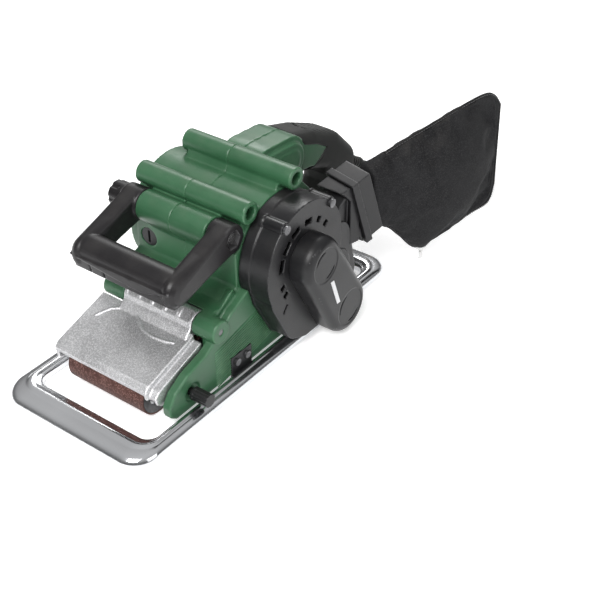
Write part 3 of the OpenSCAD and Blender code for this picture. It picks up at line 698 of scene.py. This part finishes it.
def makeGland():
    # tapered rubber sleeve with rings, from the handle's lower end to where the cord leaves it
    start, direction = Vector(cordSpec["run"][0]), Vector((-47, 0, -28)).normalized()
    profile = [(0, -47), (6, -47), (6, -38), (7.2, -37.6), (7.4, -34), (7.0, -33)]
    for i in range(6):
        z = -31 + i * 4.6
        r = 6.9 - i * 0.28
        profile += [(r, z), (r - 0.9, z + 0.5), (r - 0.9, z + 1.5), (r, z + 2)]
    profile += [(5.6, -1.2), (5.1, -0.2), (3.6, 0), (0, 0)]
    bm = lathe(profile, 40)
    turn = (-direction).to_track_quat("Z", "Y").to_matrix().to_4x4()
    flip = Matrix.Diagonal((1, 1, -1, 1))
    turned(bm, Matrix.Translation(start * mm) @ turn @ flip)
    bmesh.ops.recalc_face_normals(bm, faces=bm.faces)
    obj = objectFrom("cordSleeve", bm)
    edge = obj.modifiers.new("edge", "BEVEL")
    edge.width = 0.25 * mm
    edge.segments = 2
    return finished(applied(obj), "grip_rubber", "machine", ("cord_gland",))


plug = makePlug()
gland = makeGland()
cord, cordExit, cordLength = makeCord()
print("cord made")

# green housing: two halves, each with a soft skin and the handle's rounded root

loopPath = [(-60, 124, 20), (-84, 122, 20), (-118, 115, 17), (-148, 103, 16), (-166, 84, 16.5),
            (-166, 64, 16), (-150, 47, 13), (-118, 42, 12), (-98, 42, 14)]
domeEnds = [(-58, 122, 20.6), (-86, 121, 19.6)]
greenEdge = [(0, 170), (-94, 170), (-98, 138), (-106, 127), (-124, 120), (-137, 112), (-128, 105), (-112, 98),
             (-100, 94), (-92, 76), (-92, 58), (-110, 20), (0, 20)]
housing = {
    "voxel": 0.85, "passes": 3, "keep": 0.62, "domeHalf": 21.6, "topHalf": 17.6, "coreHalf": 15.4,
    "ribs": 15, "ribStep": 2.35, "ribTall": 0.7, "ribWide": 1.25, "ribSlope": 11.5, "ribTop": 44.5,
    "panelFace": 58.5,
}


def loopParts(grow, half):
    # the rear handle's loop as rounded links, grown or shrunk, half as wide each side
    ends = [(x, z, r + grow, -half, half, 7, 9) for x, z, r in loopPath]
    return [slab(a, b) for a, b in zip(ends, ends[1:])]


def halved(bm, side):
    # keeps the part of a closed convex piece on one side of the machine's middle plane
    geom = bm.verts[:] + bm.edges[:] + bm.faces[:]
    cut = bmesh.ops.bisect_plane(bm, geom=geom, plane_co=(0, 0, 0), plane_no=(0, -side, 0), clear_outer=True)
    edges = [e for e in cut["geom_cut"] if isinstance(e, bmesh.types.BMEdge)]
    if edges:
        bmesh.ops.contextual_create(bm, geom=edges)
    bmesh.ops.recalc_face_normals(bm, faces=bm.faces)
    return bm


def makeHousingHalf(name, node, side):
    h = housing
    dome = slab(*[(x, z, r, -h["domeHalf"], h["domeHalf"], 10, 13) for x, z, r in domeEnds])
    links = loopParts(-2.8, h["coreHalf"])[2:] + loopParts(-0.6, h["topHalf"])[:2] + [dome]
    parts = [cadCopy(node)] + [halved(link, side) for link in links]
    if side > 0:
        # fills the ribbed panel's grooves, which are set on again as ribs
        parts.append(prism([(60, 39), (14, 47), (-18, 8), (64, 8)], 56, 58.45))
        # flat gusset with a crest on the deck, beside the panel
        parts.append(pointHull([(56, 36, 49), (56, 50, 49), (24, 36, 66), (24, 51, 66), (30, 52, 76),
                                (54, 51, 58)]))
    obj = soften(name, joined(parts), h["voxel"], h["passes"], h["keep"])
    return finished(obj, "green_plastic", "machine", (node,))


def makePanelRibs():
    # fine slanted ribs on the belt panel, clipped to its four-sided field
    bar = block((-0.5, -0.5, -0.5), (0.5, 0.5, 0.5))
    bmesh.ops.bevel(bar, geom=bar.edges, offset=0.16 * mm, segments=1, affect="EDGES")
    h = housing
    lean = math.radians(h["ribSlope"])
    spots = []
    for i in range(h["ribs"]):
        z = h["ribTop"] - i * h["ribStep"]
        left = -16 + (z - 8) * 0.68
        right = 61.5 if z > 12 else 60
        middle = (left + right) / 2
        place = (middle, h["panelFace"], z - (middle - 22) * math.tan(lean))
        spots.append((place, (0, lean, 0), (right - left, h["ribTall"] * 2, h["ribWide"])))
    return repeated("panelRibs", bar, spots, "green_plastic")


makeHousingHalf("housingLeft", "housing_left", 1)
makeHousingHalf("housingRight", "housing_right", -1)
makePanelRibs()
print("housing made")

# rubber cover of the rear handle

gripSpec = {"voxel": 0.7, "grow": 0.5, "half": 18.7, "wall": 3.0, "grooveFrom": 58, "grooveStep": 7.5,
            "grooves": 6, "depth": 1.5, "width": 1.7, "reach": 15, "bow": 0.028}


def alongLoop(x, z):
    # distance along the handle's centre line, and which way is out from it
    best = (1e9, 0, None)
    travelled = 0
    p = Vector((x, z))
    for start, end in zip(loopPath, loopPath[1:]):
        a, b = Vector(start[:2]), Vector(end[:2])
        line = b - a
        share = max(0, min(1, (p - a).dot(line) / line.length_squared))
        foot = a + line * share
        gap = (p - foot).length
        if gap < best[0]:
            best = (gap, travelled + share * line.length, p - foot)
        travelled += line.length
    return best[1], best[2]


def makeGripCover():
    g = gripSpec
    obj = soften("gripCover", joined(loopParts(g["grow"], g["half"])), 1.0, 2, 0.5)
    core = soften("core", joined(loopParts(-g["wall"], g["half"] - g["wall"])), 1.2, 1, 0.5)
    carved(obj, core)
    carved(obj, prism(greenEdge, -40, 40))
    carved(obj, block((-129.5, -7, 84), (-100.5, 7, 112)))
    obj.data.update()
    bm = bmesh.new()
    bm.from_mesh(obj.data)
    bpy.data.objects.remove(obj)
    obj = soften("gripCover", bm, g["voxel"], 3)
    for vertex in obj.data.vertices:
        x, y, z = vertex.co / mm
        s, out = alongLoop(x, z)
        normal = vertex.normal
        outer = out.length > 6 and (normal.x * out.x + normal.z * out.y) > 0
        if not outer or abs(y) > g["reach"] or out.dot(Vector((-0.5, 0.86))) < 0:
            continue
        s -= g["bow"] * y * y
        nearest = round((s - g["grooveFrom"]) / g["grooveStep"])
        if 0 <= nearest < g["grooves"]:
            off = abs(s - g["grooveFrom"] - nearest * g["grooveStep"]) / g["width"]
            fade = min(1, (g["reach"] - abs(y)) / 3)
            vertex.co -= normal * g["depth"] * mm * fade * max(0, 1 - off * off)
    return finished(obj, "grip_rubber", "machine", ("grip_cover",))


makeGripCover()
print("grip made")

# black end cover, guard and outlet; the bag's frame is here because the outlet shares it

bagSpec = {"outlet": (-98, 66.4), "yaw": -13, "voxel": 4.0, "frames": 20, "pressure": 4.0, "cap": 7.0,
           "mouth": 32}


def bagPoint(s, t, z):
    yaw = math.radians(bagSpec["yaw"])
    x0, y0 = bagSpec["outlet"]
    x = x0 - math.cos(yaw) * s - math.sin(yaw) * t
    y = y0 - math.sin(yaw) * s + math.cos(yaw) * t
    return Vector((x, y, z))


coverSpec = {"band": (51, 60), "bandSwell": 0.9}
guardSpec = {
    "topRadius": 22, "lowRadius": 23.5, "lowAt": (-61, 26), "wall": 2.5, "shoulder": (7, 8), "rimDeep": 10,
    "field": {"share": 0.70, "deep": 0.5}, "slot": {"wide": 1.7, "deep": 1.8},
    # disc, radius, first angle and sweep of each curved slot
    "slots": [("top", 12.2, 20, 66), ("top", 12.2, 205, 60), ("low", 13.4, -4, 72), ("low", 13.4, 215, 62)],
}


def pearRing(inset, y, arcSteps=32):
    # two round ends joined by straight sides, drawn in by an inset
    g = guardSpec
    top, low = Vector(motorAt), Vector(g["lowAt"])
    along = math.atan2(low.y - top.y, low.x - top.x)
    lean = math.acos((g["topRadius"] - g["lowRadius"]) / (low - top).length)
    points = []
    for centre, radius, first, last in (
            (low, g["lowRadius"], -lean, lean), (top, g["topRadius"], lean, 2 * math.pi - lean)):
        for i in range(arcSteps + 1):
            angle = along + first + (last - first) * i / arcSteps
            x = centre.x + (radius - inset) * math.cos(angle)
            z = centre.y + (radius - inset) * math.sin(angle)
            points.append(Vector((x, y, z)) * mm)
    return points


def makeEndCover():
    parts = [cadCopy("motor_end_cover")]
    # broad band where the cover meets the housing
    band = cadCopy("motor_end_cover")
    for limit, side in zip(coverSpec["band"], (-1, 1)):
        geom = band.verts[:] + band.edges[:] + band.faces[:]
        cut = bmesh.ops.bisect_plane(band, geom=geom, plane_co=(0, limit * mm, 0), plane_no=(0, side, 0),
                                     clear_outer=True)
        edges = [e for e in cut["geom_cut"] if isinstance(e, bmesh.types.BMEdge)]
        bmesh.ops.triangle_fill(band, edges=edges, use_beauty=True)
    bmesh.ops.recalc_face_normals(band, faces=band.faces)
    band.normal_update()
    for vertex in band.verts:
        flat = Vector((vertex.normal.x, 0, vertex.normal.z))
        vertex.co += flat * coverSpec["bandSwell"] * mm
    parts.append(band)
    obj = soften("endCover", joined(parts), 0.6, 3, 0.8)
    return finished(obj, "black_plastic", "machine", ("motor_end_cover",))


def guardDepth(x, z):
    # how far the guard's face is pushed in: a round field at each end, and tapered curved slots
    g = guardSpec
    centres = {"top": (*motorAt, g["topRadius"]), "low": (*g["lowAt"], g["lowRadius"])}
    deep = 0
    for name, (cx, cz, radius) in centres.items():
        away = math.dist((x, z), (cx, cz))
        edge = radius * g["field"]["share"]
        deep += g["field"]["deep"] * max(0, min(1, (edge - away) / 0.8))
        for where, middle, first, sweep in g["slots"]:
            share = ((math.degrees(math.atan2(z - cz, x - cx)) - first) % 360) / sweep
            if where != name or share > 1:
                continue
            half = g["slot"]["wide"] / 2 * math.sin(math.pi * share) ** 0.5
            deep += g["slot"]["deep"] * max(0, min(1, (half - abs(away - middle)) / 0.4 + 0.5))
    return deep


def makeGuard():
    g = guardSpec
    inward, outward = g["shoulder"]
    wall = g["wall"]
    rings = [(wall + 6, guardFaceY - wall), (wall, guardFaceY - g["rimDeep"])]
    rings += [(wall, coverFaceY), (0, coverFaceY)]
    for i in range(9):
        lean = math.pi / 2 * i / 8
        rings.append((inward * (1 - math.cos(lean)), guardFaceY - outward * (1 - math.sin(lean))))
    bm = bmesh.new()
    loops = [[bm.verts.new(p) for p in pearRing(inset, y)] for inset, y in rings]
    for a, b in zip(loops, loops[1:]):
        for i in range(len(a)):
            j = (i + 1) % len(a)
            bm.faces.new((a[i], a[j], b[j], b[i]))
    bm.faces.new(loops[0])
    bm.faces.new(loops[-1])
    bmesh.ops.recalc_face_normals(bm, faces=bm.faces)
    obj = soften("beltGuard", bm, 0.42, 3)
    for vertex in obj.data.vertices:
        x, y, z = vertex.co / mm
        if y > guardFaceY - 0.9:
            vertex.co.y -= guardDepth(x, z) * mm
    return finished(obj, "black_plastic", "machine", ("belt_guard",))


def makeOutlet():
    # the duct, closed at its front by a neck that runs into the end cover
    mouth = [bagPoint(s, t, z) for s in (-8.2, 2) for t in (-14.5, 13) for z in (63.5, 116)]
    neck = [bagPoint(-7, t, z) for t in (-13, 9) for z in (67, 110)]
    neck += [Vector((-76, y, z)) for y in (54, 73) for z in (74, 100)]
    parts = [cadCopy("dust_outlet"), pointHull(mouth), pointHull(neck)]
    obj = soften("dustOutlet", joined(parts), 0.6, 3, 0.8)
    return finished(obj, "black_plastic", "machine", ("dust_outlet",))


makeEndCover()
makeGuard()
makeOutlet()
print("covers made")

# front handle with its lower lip, and the clamp knob

handleSpec = {"half": 52, "arm": 16, "barAt": (82, 101), "barRadius": 13.3, "midAt": (56, 109),
              "midRadius": 11.3, "hub": 12.4, "hubFrom": 34, "notches": (-31, -17), "notchWide": 2.2,
              "lipHalf": 47, "pocket": 8.1, "pocketFloor": 42, "bore": 4.12}


def makeFrontHandle():
    h = handleSpec
    parts = []
    for side in (-1, 1):
        y0, y1 = sorted((side * (h["half"] - h["arm"]), side * h["half"]))
        hubIn, hubOut = sorted((side * h["hubFrom"], side * h["half"]))
        middle = (*h["midAt"], h["midRadius"], y0, y1, 4, 5)
        parts.append(slab((*pivotAt, h["hub"], hubIn, hubOut, 1.6, 1.6)))
        parts.append(slab((*pivotAt, h["hub"], y0, y1, 3, 4), middle))
        parts.append(slab(middle, (*h["barAt"], h["barRadius"], y0, y1, 8, 9)))
    x, z = h["barAt"]
    half = h["half"]
    parts.append(slab((x - 1, z + 1.5, h["barRadius"] - 1, -half, half, 8, 12)))
    # the bar's outer edge: a crease above a lower lip that swells towards the near side
    crease = []
    for y, drop in ((-50, 0), (-36, 0.5), (-10, 1.5), (8, 5), (22, 5.5), (34, 2), (48, -2)):
        crease += [(x + 13.2, y, z + 1.5 - drop), (x - 4, y, z + 8 - drop), (x - 4, y, z - 8)]
    parts.append(pointHull(crease))
    lips = []
    sides = [n + side * h["notchWide"] / 2 for n in h["notches"] for side in (-1, 1)]
    edges = [-h["lipHalf"], *sides, h["lipHalf"]]
    for y0, y1 in zip(edges[::2], edges[1::2]):
        lips.append(pointHull([(px, y, pz) for y in (y0, y1) for px, pz in (
            (x + 11.6, z + 1), (x + 10.6, z - 9), (x + 6, z - 13.2), (x - 4, z - 13.2), (x - 4, z))]))
    obj = soften("frontHandle", joined(parts + lips), 0.65, 3)
    # hexagon pocket for the bolt's head
    pocket = lathe([(0, 0), (h["pocket"], 0), (h["pocket"], 14), (0, 14)], 6)
    spin = Matrix.Rotation(-math.pi / 2, 4, "X")
    turned(pocket, Matrix.Translation(Vector((pivotAt[0], h["pocketFloor"], pivotAt[1])) * mm) @ spin)
    carved(obj, pocket)
    bore = rod(h["bore"], (pivotAt[0], -60, pivotAt[1]), (pivotAt[0], 60, pivotAt[1]))
    carved(obj, bore)
    return finished(obj, "handle_plastic", "front_handle", ("front_handle",))


def makeClampKnob():
    obj = soften("clampKnob", cadCopy("clamp_knob"), 0.4, 3)
    return finished(obj, "handle_plastic", "clamp_knob", ("clamp_knob",))


makeFrontHandle()
makeClampKnob()
print("handle made")

# die-cast nose cover


noseSpec = {
    # upper and lower end of the sloping top, as (x, z), and the raised curve on it, as (x, y)
    "top": ((72, 48.8), (117, 35.2)), "ridgeRadius": 1.1, "ridgeSunk": 0.35,
    "ridge": [(86, -40), (75, -33), (69, -22), (68, -14), (73, -6), (79, 3), (81, 14), (80, 26), (78, 34)],
}


def makeNoseCover():
    n = noseSpec
    (xHigh, zHigh), (xLow, zLow) = n["top"]
    slope = -(zHigh - zLow) / (xLow - xHigh)
    line = [(x, y, zHigh + slope * (x - xHigh) - n["ridgeSunk"]) for x, y in n["ridge"]]
    parts = [cadCopy("nose_cover")] + [rod(n["ridgeRadius"], a, b, 12) for a, b in zip(line, line[1:])]
    obj = soften("noseCover", joined(parts), 0.6, 2, 0.8)
    return finished(obj, "cast_cover", "nose_cover", ("nose_cover",))


makeNoseCover()
print("nose cover made")

# bench frame: one section carried round from the outer edge to the opening

frameSpec = {
    "outer": (326, 146, 22), "inner": (274, 116, 10), "middleY": 2, "perCorner": 12,
    # share of the way in, height; then the underside back out
    "section": [(0, 0.2), (0.01, 1.2), (0.06, 3.4), (0.16, 5.4), (0.30, 6.3), (0.42, 6.7), (0.50, 6.9),
                (0.56, 7.9), (0.64, 8.2), (0.74, 8.0), (0.82, 6.9), (0.93, 6.5), (0.99, 5.4), (1, 0.4),
                (0.94, 0.4), (0.93, 5.0), (0.60, 6.6), (0.30, 5.0), (0.12, 3.6), (0.05, 0.2)],
}


def frameRing(share):
    f = frameSpec
    length, width, radius = (a + (b - a) * share for a, b in zip(f["outer"], f["inner"]))
    centreY = f["middleY"] * share
    points = []
    for quarter in range(4):
        sx = 1 if quarter in (0, 3) else -1
        sy = 1 if quarter in (0, 1) else -1
        cx, cy = sx * (length / 2 - radius), centreY + sy * (width / 2 - radius)
        for i in range(f["perCorner"] + 1):
            angle = math.pi / 2 * (quarter + i / f["perCorner"])
            points.append((cx + radius * math.cos(angle), cy + radius * math.sin(angle)))
    return points


def makeFrame():
    bm = bmesh.new()
    loops = []
    for share, height in frameSpec["section"]:
        loops.append([bm.verts.new(Vector((x, y, height)) * mm) for x, y in frameRing(share)])
    count = len(loops[0])
    for i, ring in enumerate(loops):
        following = loops[(i + 1) % len(loops)]
        for k in range(count):
            bm.faces.new((ring[k], ring[(k + 1) % count], following[(k + 1) % count], following[k]))
    bmesh.ops.recalc_face_normals(bm, faces=bm.faces)
    obj = objectFrom("sandingFrame", bm)
    smoother = obj.modifiers.new("smoother", "SUBSURF")
    smoother.levels = smoother.render_levels = 2
    return finished(applied(obj), "plated_sheet", "machine", ("sanding_frame",))


makeFrame()
print("frame made")

# dust bag

bagTop = [(19, 121), (34, 124), (62, 128.5), (95, 133), (125, 137), (155, 139.5), (168, 135), (177, 124)]
bagLow = [(19, 64), (45, 54), (62, 38), (84, 17), (115, 20), (150, 24.5), (174, 28), (180, 44)]


def curveAt(points, share):
    # smooth point on a chain, by chord length
    lengths = [0]
    for a, b in zip(points, points[1:]):
        lengths.append(lengths[-1] + math.dist(a, b))
    want = share * lengths[-1]
    i = max(k for k in range(len(points) - 1) if lengths[k] <= want + 1e-9)
    u = (want - lengths[i]) / (lengths[i + 1] - lengths[i])
    p = [points[max(0, min(len(points) - 1, i + k))] for k in (-1, 0, 1, 2)]
    return tuple(
        0.5 * (2 * b + (c - a) * u + (2 * a - 5 * b + 4 * c - d) * u * u + (3 * b - a - 3 * c + d) * u ** 3)
        for a, b, c, d in zip(*p))


def bagShell(grow):
    bm = bmesh.new()
    stations, around = 36, 48
    rings = []
    for i in range(stations + 1):
        share = i / stations
        top, low = curveAt(bagTop, share), curveAt(bagLow, share)
        # box-like at the mouth, lens-like along the bag, thin at the far seam
        boxed = max(0.0, 1 - share / 0.16)
        belly = math.sin(math.pi * min(1, share * 0.98 + 0.06)) ** 0.8
        half = 14.5 * boxed + (1 - boxed) * (3 + 14.5 * belly)
        power = 0.35 * boxed + 0.85 * (1 - boxed)
        ring = []
        for k in range(around):
            a = 2 * math.pi * k / around
            up = math.copysign(abs(math.cos(a)) ** power, math.cos(a))
            side = math.copysign(abs(math.sin(a)) ** power, math.sin(a)) * (half + grow)
            middle = (0.5 + 0.5 * up)
            s = low[0] + (top[0] - low[0]) * middle
            z = low[1] + (top[1] - low[1]) * middle
            sag = 2.5 * math.sin(math.pi * share) * (1 - middle)
            ring.append(bm.verts.new(bagPoint(s, side * (1 + 0.12 * (0.5 - middle)), z - sag * 0.4) * mm))
        rings.append(ring)
    for a, b in zip(rings, rings[1:]):
        for k in range(around):
            bm.faces.new((a[k], a[(k + 1) % around], b[(k + 1) % around], b[k]))
    bm.faces.new(rings[0])
    bm.faces.new(rings[-1])
    bmesh.ops.recalc_face_normals(bm, faces=bm.faces)
    return bm


def puff(obj):
    # pressure swells the shell between its seams; how far a point moves is capped
    b = bagSpec
    before = [v.co.copy() for v in obj.data.vertices]
    held = obj.vertex_groups.new(name="held")
    yaw = math.radians(b["yaw"])
    for v in obj.data.vertices:
        dx, dy = v.co.x / mm - b["outlet"][0], v.co.y / mm - b["outlet"][1]
        s = -(dx * math.cos(yaw) + dy * math.sin(yaw))
        t = -dx * math.sin(yaw) + dy * math.cos(yaw)
        if s < b["mouth"] or abs(t) < 1.6:
            held.add([v.index], 1.0, "REPLACE")
    cloth = obj.modifiers.new("cloth", "CLOTH")
    c = cloth.settings
    c.quality = 6
    c.mass = 0.25
    c.tension_stiffness = c.compression_stiffness = 12
    c.shear_stiffness = 6
    c.bending_stiffness = 0.35
    c.use_pressure = True
    c.uniform_pressure_force = b["pressure"]
    c.vertex_group_mass = "held"
    c.shrink_min = -0.05
    c.effector_weights.gravity = 0
    cloth.collision_settings.use_collision = False
    cloth.point_cache.frame_start, cloth.point_cache.frame_end = 1, b["frames"]
    for f in range(1, b["frames"] + 1):
        scene.frame_set(f)
    applied(obj)
    scene.frame_set(1)
    for v, old in zip(obj.data.vertices, before):
        step = v.co - old
        if step.length > b["cap"] * mm:
            v.co = old + step.normalized() * b["cap"] * mm


def makeBag():
    obj = soften("dustBag", bagShell(-2), bagSpec["voxel"], 2)
    puff(obj)
    smoother = obj.modifiers.new("smoother", "SUBSURF")
    smoother.levels = smoother.render_levels = 1
    applied(obj)
    finished(obj, "bag_cloth", "dust_bag", ("dust_bag",))
    return obj


def makeSeam(name, points, radius):
    curve = bpy.data.curves.new(name, "CURVE")
    curve.dimensions = "3D"
    curve.bevel_depth = radius * mm
    curve.bevel_resolution = 3
    curve.use_fill_caps = True
    spline = curve.splines.new("POLY")
    spline.points.add(len(points) - 1)
    for knot, p in zip(spline.points, points):
        knot.co = (*(p * mm), 1)
    return finished(applied(newObject(name, curve)), "bag_cloth", "dust_bag")


trimSpec = {"steps": 60, "binding": 1.3, "stitchStep": 3.4, "teeth": 52}


def makeBagTrim():
    steps = trimSpec["steps"]
    top = [curveAt(bagTop, i / steps) for i in range(steps + 1)]
    low = [curveAt(bagLow, i / steps) for i in range(steps + 1)]
    far = [tuple(a + (b - a) * u for a, b in zip(bagTop[-1], bagLow[-1])) for u in (0.25, 0.5, 0.75)]
    outline = top[8:] + far + low[:7:-1]
    makeSeam("bagBinding", [bagPoint(s, 0, z) for s, z in outline], trimSpec["binding"])
    # flat seam allowance between the two panels
    middle = (sum(s for s, z in outline) / len(outline), sum(z for s, z in outline) / len(outline))
    bm = bmesh.new()
    loops = []
    for drawnIn, t in ((0, -0.7), (0, 0.7), (0.1, 0.7), (0.1, -0.7)):
        line = [(s + (middle[0] - s) * drawnIn, z + (middle[1] - z) * drawnIn) for s, z in outline]
        loops.append([bm.verts.new(bagPoint(s, t, z) * mm) for s, z in line])
    for i, near in enumerate(loops):
        far = loops[(i + 1) % 4]
        for k in range(len(outline) - 1):
            bm.faces.new((near[k], near[k + 1], far[k + 1], far[k]))
    bm.faces.new([ring[0] for ring in loops])
    bm.faces.new([ring[-1] for ring in loops])
    bmesh.ops.recalc_face_normals(bm, faces=bm.faces)
    finished(objectFrom("bagSeam", bm), "bag_cloth", "dust_bag", smooth=False)
    yaw = math.radians(bagSpec["yaw"])
    bar = block((-0.5, -0.5, -0.5), (0.5, 0.5, 0.5))
    stitches, teeth = [], []
    for (sa, za), (sb, zb) in zip(outline, outline[1:]):
        run = math.dist((sa, za), (sb, zb))
        slope = math.atan2(zb - za, -(sb - sa))
        count = max(1, round(run / trimSpec["stitchStep"]))
        for k in range(count):
            u = (k + 0.5) / count
            s, z = sa + (sb - sa) * u, za + (zb - za) * u
            for t in (-1.25, 1.25):
                stitches.append((bagPoint(s, t, z), (0, -slope, yaw), (1.9, 0.45, 0.5)))
    for k in range(trimSpec["teeth"]):
        s, z = curveAt(bagLow, 0.42 + 0.55 * k / (trimSpec["teeth"] - 1))
        for t in (-0.75, 0.75):
            teeth.append((bagPoint(s + (0.6 if t > 0 else 0), t, z - 1.35), (0, 0, yaw), (0.9, 1.3, 0.9)))
    repeated("bagStitches", bar, stitches, "bag_cloth", "dust_bag", look="thread")
    tooth = block((-0.5, -0.5, -0.5), (0.5, 0.5, 0.5))
    repeated("zipTeeth", tooth, teeth, "zinc_steel", "dust_bag", smooth=False)


makeBag()
makeBagTrim()
print("bag made")

# small softened pieces and everything that keeps its CAD shape

# nodes that look darker than their slot
nodeLooks = {
    "cover_screws": "blackened_steel", "frame_screws": "blackened_steel", "nose_hinge_pin": "blackened_steel",
    "frame_bracket": "blackened_steel", "front_roller": "black_plastic",
}
softCopies = [
    # piece, node, voxel, smoothing passes
    ("bagCollar", "bag_collar", 0.5, 2), ("trackingKnob", "tracking_knob", 0.3, 1),
    ("lockButton", "lock_button", 0.3, 2), ("switchTrigger", "switch_trigger", 0.4, 2),
    ("brushCaps", "brush_caps", 0.35, 1), ("frameBracket", "frame_bracket", 0.5, 1),
]
slotOf = {part["node"]: part["material_slot"] for part in record["subparts"]}
bodyOf = {node: body for body, names in record["behaviour"]["bodies"].items() for node in names}
for name, node, voxel, passes in softCopies:
    obj = soften(name, cadCopy(node), voxel, passes)
    finished(obj, slotOf[node], bodyOf[node], (node,), look=nodeLooks.get(node))

for node, obj in nodes.items():
    obj.data.materials.clear()
    obj.data.materials.append(finishes[nodeLooks.get(node, slotOf[node])])

print("all pieces made")
